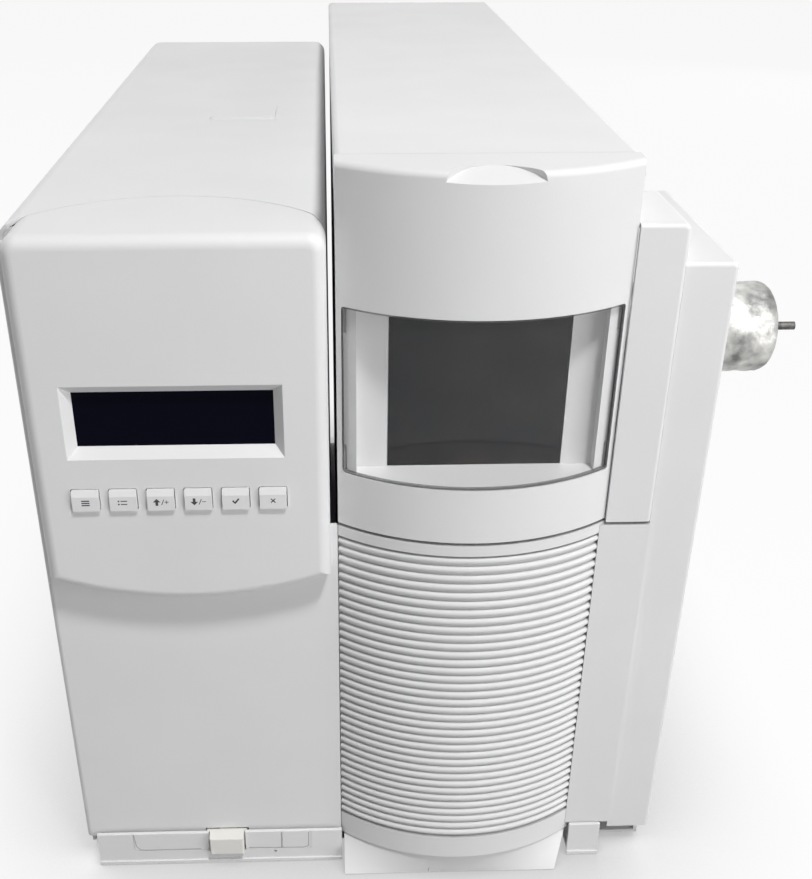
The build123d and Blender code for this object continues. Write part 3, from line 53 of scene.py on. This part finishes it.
front_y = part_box("front_panel")[0].y      # front plane of the covers
seam_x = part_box("analyzer_cover")[0].x    # left face of the analyzer module

# ---------------------------------------------------------------- camera
IMAGE_W, IMAGE_H = 812, 879
FOCAL_PX = 1140.27                        # focal length in pixels
CENTRE_PX = (361.93, 473.22)              # where the optical axis meets the picture
PITCH, YAW = 28.93, 1.71                  # degrees down and to the right
CAMERA_AT = Vector((seam_x - 0.0026, front_y - 0.4854, 0.5275))
SENSOR = 36.0
CLIP_START, CLIP_END = 0.01, 50


def make_camera():
    """The photograph's viewing angle, with the shift that its cropped frame needs."""
    data = bpy.data.cameras.new("camera")
    data.sensor_width = SENSOR
    data.lens = FOCAL_PX / IMAGE_H * SENSOR
    data.shift_x = (IMAGE_W / 2 - CENTRE_PX[0]) / IMAGE_H
    data.shift_y = (CENTRE_PX[1] - IMAGE_H / 2) / IMAGE_H
    data.clip_start, data.clip_end = CLIP_START, CLIP_END
    camera = bpy.data.objects.new("camera", data)
    bpy.context.collection.objects.link(camera)
    camera.location = CAMERA_AT
    camera.rotation_euler = (math.radians(90 - PITCH), 0, math.radians(-YAW))
    bpy.context.scene.camera = camera


# ---------------------------------------------------------------- shader nodes
def node(tree, kind, **inputs):
    """New shader node; inputs are given by name with underscores for spaces."""
    made = tree.nodes.new(kind)
    for key, value in inputs.items():
        made.inputs[key.replace("_", " ")].default_value = value
    return made


def object_place(tree):
    """Place on the surface in object space."""
    return tree.nodes.new("ShaderNodeTexCoord").outputs["Object"]


def ramp(tree, value, start, end, low, high):
    """Value brought from the range start to end into the range low to high."""
    made = node(tree, "ShaderNodeMapRange", From_Min=start, From_Max=end, To_Min=low, To_Max=high)
    tree.links.new(value, made.inputs["Value"])
    return made.outputs["Result"]


def maths(tree, operation, first, second):
    """Result of an operation on two values, each a number or a socket."""
    made = tree.nodes.new("ShaderNodeMath")
    made.operation = operation
    for place, value in enumerate((first, second)):
        if isinstance(value, float):
            made.inputs[place].default_value = value
        else:
            tree.links.new(value, made.inputs[place])
    return made.outputs["Value"]


def mixed(tree, factor, first, second):
    """Mix of two plain colours."""
    mix = tree.nodes.new("ShaderNodeMix")
    mix.data_type = "RGBA"
    mix.inputs["A"].default_value = (*first, 1)
    mix.inputs["B"].default_value = (*second, 1)
    tree.links.new(factor, mix.inputs["Factor"])
    return mix


def openness(tree, distance, samples):
    """1 on open surfaces, less where others close in within the distance."""
    made = node(tree, "ShaderNodeAmbientOcclusion", Distance=distance)
    made.samples = samples
    return made.outputs["AO"]


def speckle(tree, scale, detail=3.0, stretch=(1, 1, 1)):
    """Noise in object space, scale in repeats a metre."""
    mapping = node(tree, "ShaderNodeMapping", Scale=stretch)
    made = node(tree, "ShaderNodeTexNoise", Scale=scale, Detail=detail)
    tree.links.new(object_place(tree), mapping.inputs["Vector"])
    tree.links.new(mapping.outputs["Vector"], made.inputs["Vector"])
    return made.outputs["Fac"]


# ---------------------------------------------------------------- materials
BODY = (0.768, 0.768, 0.772)              # colour of the painted and moulded covers
HANDLED = 0.965                           # how much darker the handled areas of a cover are
OWN_FINISH = {"lower_front_cover": "ribbed_moulding", "interface_tube": "blued_steel"}
COATED = {                                # colour, roughness, and depth in mm and scale of the grain
    "body_paint": (BODY, 0.42, 0.03, 1800),
    "body_moulding": (BODY, 0.46, 0.04, 1500),
    "ribbed_moulding": (BODY, 0.46, 0.04, 1500),
    "insert_moulding": ((0.72, 0.72, 0.723), 0.45, 0.03, 1500),
    "key_plastic": ((0.78, 0.78, 0.775), 0.42, 0.02, 2500),
    "button_plastic": ((0.80, 0.79, 0.75), 0.40, 0.02, 2500),
}
BRUSHED = {                               # colour and roughness
    "bare_steel": ((0.52, 0.52, 0.53), 0.36),
    "aluminium": ((0.72, 0.72, 0.73), 0.33),
    "box_steel": ((0.60, 0.61, 0.62), 0.38),
    "gauge_glass": ((0.60, 0.60, 0.62), 0.25),
    "gold": ((0.83, 0.62, 0.25), 0.30),
}
EVEN, BRUSHED_ALONG_Y = (1, 1, 1), (1, 0.05, 1)     # stretch of a grain
# painted shade in the ribbed cover's grooves: reach and tone of the darkening, and its samples
GROOVE_REACH, GROOVE_SHADE_TONE = 4.5 * MM, (0.50, 0.50, 0.49)
GROOVE_SAMPLES = 6
# painted shade line along a pane's edges: width, opacity and tone
RIM_WIDTH, RIM_SHADE_ALPHA, RIM_SHADE_TONE = 0.65 * MM, 0.6, (0.12, 0.12, 0.12)
mats = {}                                 # every material by its record slot or its own name


def material(name, colour, rough, metal=0.0, drift=None, polish=None, bump=None, **sockets):
    """Principled material, kept in mats.

    drift: scale, two colours and detail of the colour's change; polish: scale and two values of the
    roughness; bump: scale, depth in mm, detail and stretch of the grain; further sockets by name.
    """
    mat = bpy.data.materials.new(name)
    mat.use_nodes = True
    tree = mat.node_tree
    shader = tree.nodes["Principled BSDF"]
    shader.inputs["Base Color"].default_value = (*colour, 1)
    shader.inputs["Roughness"].default_value = rough
    shader.inputs["Metallic"].default_value = metal
    for socket, value in sockets.items():
        shader.inputs[socket.replace("_", " ")].default_value = value
    if drift:
        scale, tone, other, detail = drift
        share = ramp(tree, speckle(tree, scale, detail), 0.35, 0.65, 0.0, 1.0)
        tree.links.new(mixed(tree, share, tone, other).outputs["Result"], shader.inputs["Base Color"])
    if polish:
        scale, low, high = polish
        tree.links.new(ramp(tree, speckle(tree, scale), 0.3, 0.7, low, high), shader.inputs["Roughness"])
    if bump:
        scale, depth, detail, stretch = bump
        made = node(tree, "ShaderNodeBump", Strength=1.0, Distance=depth * MM)
        tree.links.new(speckle(tree, scale, detail, stretch), made.inputs["Height"])
        tree.links.new(made.outputs["Normal"], shader.inputs["Normal"])
    mats[name] = mat
    return mat


def paint_groove_shade(mat):
    """Painted shade: darken the colour where neighbouring walls close in, in the grooves."""
    tree = mat.node_tree
    base = tree.nodes["Principled BSDF"].inputs["Base Color"]
    mix = tree.nodes.new("ShaderNodeMix")
    mix.data_type = "RGBA"
    mix.blend_type = "MULTIPLY"
    mix.inputs["B"].default_value = (*GROOVE_SHADE_TONE, 1)
    depth = ramp(tree, openness(tree, GROOVE_REACH, GROOVE_SAMPLES), 0.35, 0.85, 1.0, 0.0)
    tree.links.new(depth, mix.inputs["Factor"])
    tree.links.new(base.links[0].from_socket, mix.inputs["A"])
    tree.links.new(mix.outputs["Result"], base)


def paint_rim_shade(mat, name):
    """Painted shade: a dark line along the edges of a pane, for its cut edge and the shaded gap behind it."""
    points = [v.co for v in frame["nodes"][name].data.vertices]
    tree = mat.node_tree
    shader = tree.nodes["Principled BSDF"]
    split = tree.nodes.new("ShaderNodeSeparateXYZ")
    tree.links.new(object_place(tree), split.inputs["Vector"])
    rim = None
    for axis, key in (("X", 0), ("Z", 2)):
        low, high = min(p[key] for p in points), max(p[key] for p in points)
        for edge, kind in ((low + RIM_WIDTH, "LESS_THAN"), (high - RIM_WIDTH, "GREATER_THAN")):
            beyond = maths(tree, kind, split.outputs[axis], edge)
            rim = beyond if rim is None else maths(tree, "MAXIMUM", rim, beyond)
    clear, colour = shader.inputs["Alpha"], shader.inputs["Base Color"]
    tree.links.new(ramp(tree, rim, 0.0, 1.0, clear.default_value, RIM_SHADE_ALPHA), clear)
    tree.links.new(mixed(tree, rim, tuple(colour.default_value)[:3], RIM_SHADE_TONE).outputs["Result"], colour)


def make_materials():
    """Every finish of the record's slots and of the pieces added here."""
    for name, (colour, rough, depth, scale) in COATED.items():
        worn = tuple(c * HANDLED for c in colour)
        material(name, colour, rough, drift=(9, colour, worn, 4.0), polish=(24, rough - 0.05, rough + 0.07),
                 bump=(scale, depth, 2.0, EVEN), Specular_IOR_Level=0.35)
    # painted shade in the grooves of the ribbed cover
    paint_groove_shade(mats["ribbed_moulding"])
    for name, (colour, rough) in BRUSHED.items():
        material(name, colour, rough, 1.0, polish=(120, rough - 0.08, rough + 0.12),
                 bump=(900, 0.01, 3.0, BRUSHED_ALONG_Y))
    material("display_glass", (0.0016, 0.0018, 0.0068), 0.22, polish=(60, 0.18, 0.28),
             Specular_IOR_Level=0.03)
    material("tinted_glass", (0.010, 0.0095, 0.009), 0.07, polish=(40, 0.05, 0.10), Specular_IOR_Level=0.22,
             drift=(28, (0.007, 0.008, 0.009), (0.024, 0.018, 0.016), 4.0))
    pane = material("clear_plastic", (0.90, 0.91, 0.92), 0.05, polish=(30, 0.04, 0.08), IOR=1.45, Alpha=0.02)
    # painted shade line along the pane's edges
    paint_rim_shade(pane, "window_pane")
    material("viewport_glass", (0.85, 0.92, 0.92), 0.05, polish=(60, 0.03, 0.08), Transmission_Weight=0.9)
    material("rubber", (0.03, 0.03, 0.03), 0.8, bump=(1500, 0.05, 2.0, EVEN))
    material("insulation_foil", (0.62, 0.615, 0.59), 0.42, 0.7, polish=(200, 0.34, 0.6),
             drift=(60, (0.74, 0.735, 0.71), (0.19, 0.19, 0.185), 6.0), bump=(500, 0.2, 5.0, EVEN))
    material("circuit_board", (0.02, 0.12, 0.05), 0.4,
             drift=(400, (0.02, 0.12, 0.05), (0.03, 0.18, 0.07), 4.0))
    material("black_plastic", (0.02, 0.02, 0.022), 0.5, polish=(50, 0.42, 0.58),
             bump=(2000, 0.03, 2.0, EVEN))
    material("ceramic", (0.82, 0.80, 0.76), 0.5, polish=(80, 0.4, 0.6))
    material("ink", (0.045, 0.045, 0.05), 0.55, polish=(300, 0.5, 0.65))
    material("blued_steel", (0.14, 0.135, 0.13), 0.38, 0.9, polish=(400, 0.3, 0.5),
             drift=(300, (0.16, 0.15, 0.14), (0.07, 0.07, 0.075), 4.0))
    material("seam", (0.36, 0.36, 0.355), 0.6, polish=(300, 0.55, 0.7))
    material("screw_zinc", (0.62, 0.62, 0.60), 0.32, 1.0, polish=(400, 0.25, 0.42))


def dress_nodes():
    """Give every CAD node its own finish, or the one of its record slot."""
    slots = {part["node"]: part["material_slot"] for part in frame["record"]["subparts"]}
    for name, obj in frame["nodes"].items():
        for place in obj.material_slots:
            place.material = mats[OWN_FINISH.get(name, slots[name])]


# ---------------------------------------------------------------- meshes
def circle(steps):
    """Angles of a full turn."""
    return [2 * math.pi * j / steps for j in range(steps)]


def quarter(steps):
    """Angles of a quarter turn, both ends included."""
    return [math.pi / 2 * i / steps for i in range(steps + 1)]


def plates(outlines, y0, y1):
    """Points and faces of flat plates with the given (x, z) outlines between two depths."""
    verts, faces = [], []
    for outline in outlines:
        first, count = len(verts), len(outline)
        verts += [(x, y, z) for y in (y0, y1) for x, z in outline]
        faces.append(tuple(range(first, first + count)))
        faces.append(tuple(range(first + 2 * count - 1, first + count - 1, -1)))
        for i in range(count):
            k = (i + 1) % count
            faces.append((first + i, first + k, first + count + k, first + count + i))
    return verts, faces


def mesh_piece(name, verts, faces, finish, body, smooth=False):
    """New piece from points and faces, with the given finish, riding on a body."""
    mesh = bpy.data.meshes.new(name)
    mesh.from_pydata(verts, [], faces)
    mesh.materials.append(mats[finish])
    mesh.validate()
    made = bmesh.new()
    made.from_mesh(mesh)
    bmesh.ops.recalc_face_normals(made, faces=made.faces)
    made.to_mesh(mesh)
    made.free()
    if smooth:
        mesh.shade_smooth()
    obj = bpy.data.objects.new(name, mesh)
    bpy.context.collection.objects.link(obj)
    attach(obj, body)
    return obj


# ---------------------------------------------------------------- foil sleeve of the interface
SLEEVE_RIM_R = 8 * MM                     # rounding of the free end
SLEEVE_EDGE_X, SLEEVE_EDGE_R = 1 * MM, 2 * MM   # chamfer of the hidden end
TUBE_HOLE_R, HEATER_PLAY = 2.8 * MM, 0.3 * MM   # hole for the tube's tip, and play round the heated tube
END_WALL = 2.5 * MM
FOIL_DENT = 0.9 * MM                      # depth of the deepest fold
BOUND = 1 * MM                            # band beside the holes that stays smooth
FLAT_END = 0.1 * MM                       # nearer to the end than this, folds run along X
AROUND, ALONG, RIM_STEPS, END_STEPS = 150, 90, 12, 8
FOLDS_ALONG, FOLDS_AROUND = 55, 1.5       # folds a metre, and round the sleeve


def crumple(x, angle):
    """Depth, 0 to 1, of the folds in hand-wrapped foil at a place on the sleeve."""
    at = Vector((x * FOLDS_ALONG, math.cos(angle) * FOLDS_AROUND, math.sin(angle) * FOLDS_AROUND))
    folds = 1 - abs(noise.noise(at * 1.3)) * 2.2
    fine = 1 - abs(noise.noise(at * 4.1 + Vector((7, 3, 1)))) * 2.0
    return max(0.0, min(1.0, 0.55 * folds + 0.3 * fine))


def make_sleeve():
    """Foil-wrapped sleeve: a turned outline whose skin is dented by the folds of the foil."""
    lo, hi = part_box("interface_sleeve")
    tube_lo, tube_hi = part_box("interface_tube")
    centre_y, centre_z, outer = (lo.y + hi.y) / 2, (lo.z + hi.z) / 2, (hi.z - lo.z) / 2
    heater_r = (tube_hi.z - tube_lo.z) / 2 + HEATER_PLAY
    start, rim, shoulder = lo.x + SLEEVE_EDGE_X, hi.x - SLEEVE_RIM_R, outer - SLEEVE_RIM_R
    outline = [(lo.x, heater_r), (lo.x, outer - SLEEVE_EDGE_R), (start, outer)]
    outline += [(start + (rim - start) * i / ALONG, outer) for i in range(1, ALONG)]
    outline += [(rim + SLEEVE_RIM_R * math.sin(turn), shoulder + SLEEVE_RIM_R * math.cos(turn))
                for turn in quarter(RIM_STEPS)]
    outline += [(hi.x, shoulder + (TUBE_HOLE_R - shoulder) * i / END_STEPS) for i in range(1, END_STEPS + 1)]
    outline += [(hi.x - END_WALL, TUBE_HOLE_R), (hi.x - END_WALL, heater_r), (lo.x, heater_r)]
    verts, faces = [], []
    for place, (x, radius) in enumerate(outline):
        at_end = x > hi.x - FLAT_END
        for angle in circle(AROUND):
            loose = place > 1 and radius > heater_r + BOUND
            depth = FOIL_DENT * crumple(x, angle) if loose else 0.0
            r = radius if at_end else radius - depth
            sunk = depth if at_end and radius > TUBE_HOLE_R + BOUND else 0.0
            verts.append((x - sunk, centre_y + r * math.cos(angle), centre_z + r * math.sin(angle)))
    for i in range(len(outline) - 1):
        a, b = i * AROUND, (i + 1) * AROUND
        for j in range(AROUND):
            k = (j + 1) % AROUND
            faces.append((a + j, a + k, b + k, b + j))
    made = mesh_piece("foil_sleeve", verts, faces, "insulation_foil", "chassis", True)
    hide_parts("interface_sleeve")


# ---------------------------------------------------------------- cover screws
HEAD_R, HEAD_SPREAD = 3.5 * MM, 8 * MM    # head, and a length larger than a head and smaller than a pitch
RECESS_W, RECESS_L, RECESS_D = 0.55 * MM, 2.0 * MM, 1.0 * MM    # half width, reach and depth of the cross
RECESS_MIDDLE_D = 1.1 * MM
DOME_FALL, DOME_POWER = 0.35, 2.5
HEAD_RINGS, HEAD_AROUND = 12, 48


def make_screws():
    """Pan-head screws with a cross recess in place of the plain heads."""
    points = [v.co for v in frame["nodes"]["cover_screws"].data.vertices]

    def beside(p, q):
        return (p.x - q.x) ** 2 + (p.z - q.z) ** 2 < HEAD_SPREAD ** 2

    heads = []
    for p in points:
        if not any(beside(p, q) for q in heads):
            heads.append(p.copy())
    verts, faces = [], []
    for seat in heads:
        near = [p for p in points if beside(p, seat)]
        cx = (min(p.x for p in near) + max(p.x for p in near)) / 2
        cz = (min(p.z for p in near) + max(p.z for p in near)) / 2
        y0, y1 = min(p.y for p in near), max(p.y for p in near)
        first = len(verts)
        verts.append((cx, y1 - RECESS_MIDDLE_D, cz))
        for i in range(1, HEAD_RINGS + 1):
            share = i / HEAD_RINGS
            dome = (y1 - y0) * (1 - DOME_FALL * share ** DOME_POWER)
            for angle in circle(HEAD_AROUND):
                dx, dz = HEAD_R * share * math.cos(angle), HEAD_R * share * math.sin(angle)
                cross = min(abs(dx), abs(dz)) < RECESS_W and max(abs(dx), abs(dz)) < RECESS_L
                verts.append((cx + dx, y0 + dome - (RECESS_D if cross else 0), cz + dz))
        verts += [(cx + HEAD_R * math.cos(a), y0, cz + HEAD_R * math.sin(a)) for a in circle(HEAD_AROUND)]
        verts.append((cx, y0, cz))
        last = len(verts) - 1
        for j in range(HEAD_AROUND):
            k = (j + 1) % HEAD_AROUND
            faces.append((first, first + 1 + j, first + 1 + k))
            for i in range(HEAD_RINGS):
                a = first + 1 + i * HEAD_AROUND
                faces.append((a + j, a + HEAD_AROUND + j, a + HEAD_AROUND + k, a + k))
            a = first + 1 + HEAD_RINGS * HEAD_AROUND
            faces.append((a + j, last, a + k))
    made = mesh_piece("cross_head_screws", verts, faces, "screw_zinc", "chassis")
    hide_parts("cover_screws")


# ---------------------------------------------------------------- symbols on the keys
# Strokes and polygons in a square from -1 to 1, x to the right and z up.
BAR = [(-0.8, -0.13), (0.8, -0.13), (0.8, 0.13), (-0.8, 0.13)]
UPRIGHT = [(-0.13, -0.8), (0.13, -0.8), (0.13, 0.8), (-0.13, 0.8)]
ARROW_UP = [(-0.3, -0.9), (0.3, -0.9), (0.3, 0.0), (0.85, 0.0), (0.0, 0.9), (-0.85, 0.0), (-0.3, 0.0)]
DOT = [(-0.2, -0.2), (0.2, -0.2), (0.2, 0.2), (-0.2, 0.2)]
SLASH = [(-0.5, -0.9), (-0.25, -0.9), (0.5, 0.9), (0.25, 0.9)]
TICK = [(-0.9, 0.0), (-0.6, 0.3), (-0.2, -0.2), (0.65, 0.85), (0.95, 0.55), (-0.15, -0.85)]
SYMBOL_UNIT, SYMBOL_HEIGHT = 1.9 * MM, 0.43     # half the square's side, and its middle on the key's height
INK_PROUD, INK_SUNK = 0.04 * MM, 0.02 * MM


def shifted(points, dx, dz, scale=1.0, flip=1):
    """Points scaled, turned upside down where flip is -1, and moved."""
    return [(x * scale + dx, z * scale * flip + dz) for x, z in points]


def turned(points, angle):
    """Points turned about the middle of the square."""
    c, s = math.cos(angle), math.sin(angle)
    return [(x * c - z * s, x * s + z * c) for x, z in points]


def make_symbols():
    """Printed generic symbols: lines, a list, up with plus, down with minus, a tick and a cross."""
    slash = shifted(SLASH, 0.5, 0, 0.85)
    minus, upright = shifted(BAR, 1.45, 0, 0.62), shifted(UPRIGHT, 1.45, 0, 0.62)
    symbols = [
        [shifted(BAR, 0, dz, 1.25) for dz in (-0.62, 0, 0.62)],
        [shifted(BAR, 0.2, 0.45), shifted(BAR, 0.2, -0.45),
         shifted(DOT, -1.1, 0.45), shifted(DOT, -1.1, -0.45)],
        [shifted(ARROW_UP, -1.0, 0, 1.1), slash, minus, upright],
        [shifted(ARROW_UP, -1.0, 0, 1.1, -1), slash, minus],
        [TICK],
        [turned(BAR, math.pi / 4), turned(BAR, -math.pi / 4)],
    ]
    for number, shapes in enumerate(symbols, 1):
        key = f"panel_key_{number}"
        lo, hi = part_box(key)
        cx, cz = (lo.x + hi.x) / 2, lo.z + SYMBOL_HEIGHT * (hi.z - lo.z)
        outlines = [[(cx + x * SYMBOL_UNIT, cz + z * SYMBOL_UNIT) for x, z in shape] for shape in shapes]
        verts, faces = plates(outlines, lo.y - INK_PROUD, lo.y + INK_SUNK)
        mesh_piece(f"key_{number}_symbol", verts, faces, "ink", key)


# ---------------------------------------------------------------- cover lip and front strip
LIP_INSET, LIP_R = 2.1 * MM, 5.9 * MM     # just inside the folded sheet and its corner
LIP_REACH, LIP_W, LIP_STEPS = 13 * MM, 7.5 * MM, 12
LIP_FRONT, LIP_BACK = 0.1 * MM, 1.1 * MM
STRIP_PROUD = 4 * MM
SEAM_W, SEAM_PROUD, SEAM_SUNK = 0.22 * MM, 0.03 * MM, 0.02 * MM     # half width, and depths
SEAMS = [                                 # (x, z) in mm from the module seam and the bench
    [(-120.9, 23.2), (-120.0, 14.5), (-118.2, 11.6), (-115.0, 11.1), (-82.5, 11.3)],
    [(-54.5, 11.4), (-22.6, 10.6), (-20.0, 11.6), (-19.5, 13.0), (-19.4, 22.8)],
    [(-35.4, 11.2), (-35.3, 22.8)],
]


def make_lip():
    """Return flange inside the electronics cover's front edge, seen at its top left corner."""
    x0, z1 = cover_lo.x + LIP_INSET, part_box("control_panel_cover")[1].z - LIP_INSET
    low = z1 - 2 * LIP_REACH
    outline = [(x0, low)]
    outline += [(x0 + LIP_R * (1 - math.cos(turn)), z1 - LIP_R * (1 - math.sin(turn)))
                for turn in quarter(LIP_STEPS)]
    outline += [(x0 + LIP_REACH, z1), (x0 + LIP_REACH, z1 - LIP_W), (x0 + LIP_W, z1 - LIP_REACH),
                (x0 + LIP_W, low)]
    verts, faces = plates([outline], cover_lo.y + LIP_FRONT, cover_lo.y + LIP_BACK)
    mesh_piece("cover_front_lip", verts, faces, "body_paint", "chassis")


def make_strip_seams():
    """Fine parting lines moulded in the front strip beside the power button."""
    outlines = []
    for run in SEAMS:
        for (xa, za), (xb, zb) in zip(run, run[1:]):
            a, b = Vector((seam_x + xa * MM, za * MM)), Vector((seam_x + xb * MM, zb * MM))
            side = (b - a).normalized().orthogonal() * SEAM_W
            outlines.append([tuple(corner) for corner in (a - side, b - side, b + side, a + side)])
    plane = front_y - STRIP_PROUD
    verts, faces = plates(outlines, plane - SEAM_PROUD, plane + SEAM_SUNK)
    mesh_piece("strip_seams", verts, faces, "seam", "chassis")


# ---------------------------------------------------------------- stage
SKY_TOP, SKY_SIDE, SKY_BLUE = 0.14, 0.36, 1.02  # brightness above and at the horizon, and a touch of blue
SKY_RISE = 0.9                            # share of the way up where the sky's top tone is reached
LAMPS = [                                 # name, place, aim, size, power, seen in reflections
    ("key", (0.420, -1.12, 2.16), (0, -0.1, 0.25), 0.30, 31.5, True),
    ("right", (1.080, -1.090, 0.52), (0, -0.1, 0.25), 0.9, 8.6, True),
    ("over", (0.1, 0.3, 2.3), (0, 0, 0.3), 1.4, 3.0, True),
    ("left", (-2.1, 1.1, 0.8), (0, 0, 0.2), 1.6, 12.0, False),
    ("rear", (1.2, 2.1, 0.9), (0, 0, 0.2), 1.6, 8.0, False),
]
BACKDROP = 0.975                          # what the camera sees beyond the object
FLOOR_SIZE, FLOOR_ROUGH = 14, 0.8
FLOOR_UNSEEN, FLOOR_SEEN = (0.42, 0.42, 0.42), (0.06, 0.06, 0.06)   # colours for soft light and for the eye
SHADE_REACH, SHADE_SAMPLES, SHADE_GLOW = 0.12, 8, 0.45  # painted shadow: the floor's glow dimmed close to the object
OPEN_GLOW = BACKDROP - 0.055


def seen_directly(tree):
    """1 for what the camera sees straight, in a reflection or through glass."""
    path = tree.nodes.new("ShaderNodeLightPath")
    total = path.outputs["Is Camera Ray"]
    for name in ("Is Glossy Ray", "Is Transmission Ray"):
        total = maths(tree, "MAXIMUM", total, path.outputs[name])
    return total


def make_floor():
    """Pale floor that the camera sees near white, keeping a faint real shadow of the object, with a painted
    shadow where its glow is dimmed close to the object.
    """
    bpy.ops.mesh.primitive_plane_add(size=FLOOR_SIZE, location=(0, 0, 0))
    floor = bpy.context.object
    floor.name = "floor"
    mat = material("floor", FLOOR_UNSEEN, FLOOR_ROUGH, Specular_IOR_Level=0.0)
    tree = mat.node_tree
    seen = seen_directly(tree)
    shader = tree.nodes["Principled BSDF"]
    colour = mixed(tree, seen, FLOOR_UNSEEN, FLOOR_SEEN)
    tree.links.new(colour.outputs["Result"], shader.inputs["Base Color"])
    shader.inputs["Emission Color"].default_value = (1, 1, 1, 1)
    # painted shadow: the glow that the camera sees is dimmed where the object closes in
    near = ramp(tree, openness(tree, SHADE_REACH, SHADE_SAMPLES), 0.3, 0.95, SHADE_GLOW, OPEN_GLOW)
    tree.links.new(maths(tree, "MULTIPLY", seen, near), shader.inputs["Emission Strength"])
    floor.data.materials.append(mat)


def make_world():
    """Soft sky, brighter to the sides, with the backdrop's white for what is seen directly."""
    world = bpy.data.worlds.new("world")
    bpy.context.scene.world = world
    world.use_nodes = True
    tree = world.node_tree
    split = tree.nodes.new("ShaderNodeSeparateXYZ")
    tree.links.new(tree.nodes.new("ShaderNodeTexCoord").outputs["Generated"], split.inputs["Vector"])
    sky = mixed(tree, ramp(tree, split.outputs["Z"], 0.0, SKY_RISE, 0.0, 1.0),
                (SKY_SIDE, SKY_SIDE, SKY_SIDE * SKY_BLUE), (SKY_TOP, SKY_TOP, SKY_TOP * SKY_BLUE))
    white = mixed(tree, seen_directly(tree), (0, 0, 0), (BACKDROP, BACKDROP, BACKDROP))
    tree.links.new(sky.outputs["Result"], white.inputs["A"])
    tree.links.new(white.outputs["Result"], tree.nodes["Background"].inputs["Color"])


def make_lamps():
    """Key from above the front right, soft light from the right, above, the left and the rear."""
    for name, at, aim, size, power, glossy in LAMPS:
        data = bpy.data.lights.new(name, "AREA")
        data.shape, data.size, data.energy = "DISK", size, power
        lamp = bpy.data.objects.new(name, data)
        bpy.context.collection.objects.link(lamp)
        lamp.location = at
        lamp.visible_glossy = glossy
        lamp.rotation_euler = (Vector(aim) - Vector(at)).to_track_quat("-Z", "Y").to_euler()


make_camera()
make_floor()
make_world()
make_lamps()
make_materials()
dress_nodes()
make_sleeve()
make_screws()
make_symbols()
make_lip()
make_strip_seams()

bpy.context.scene.view_settings.view_transform = "Standard"
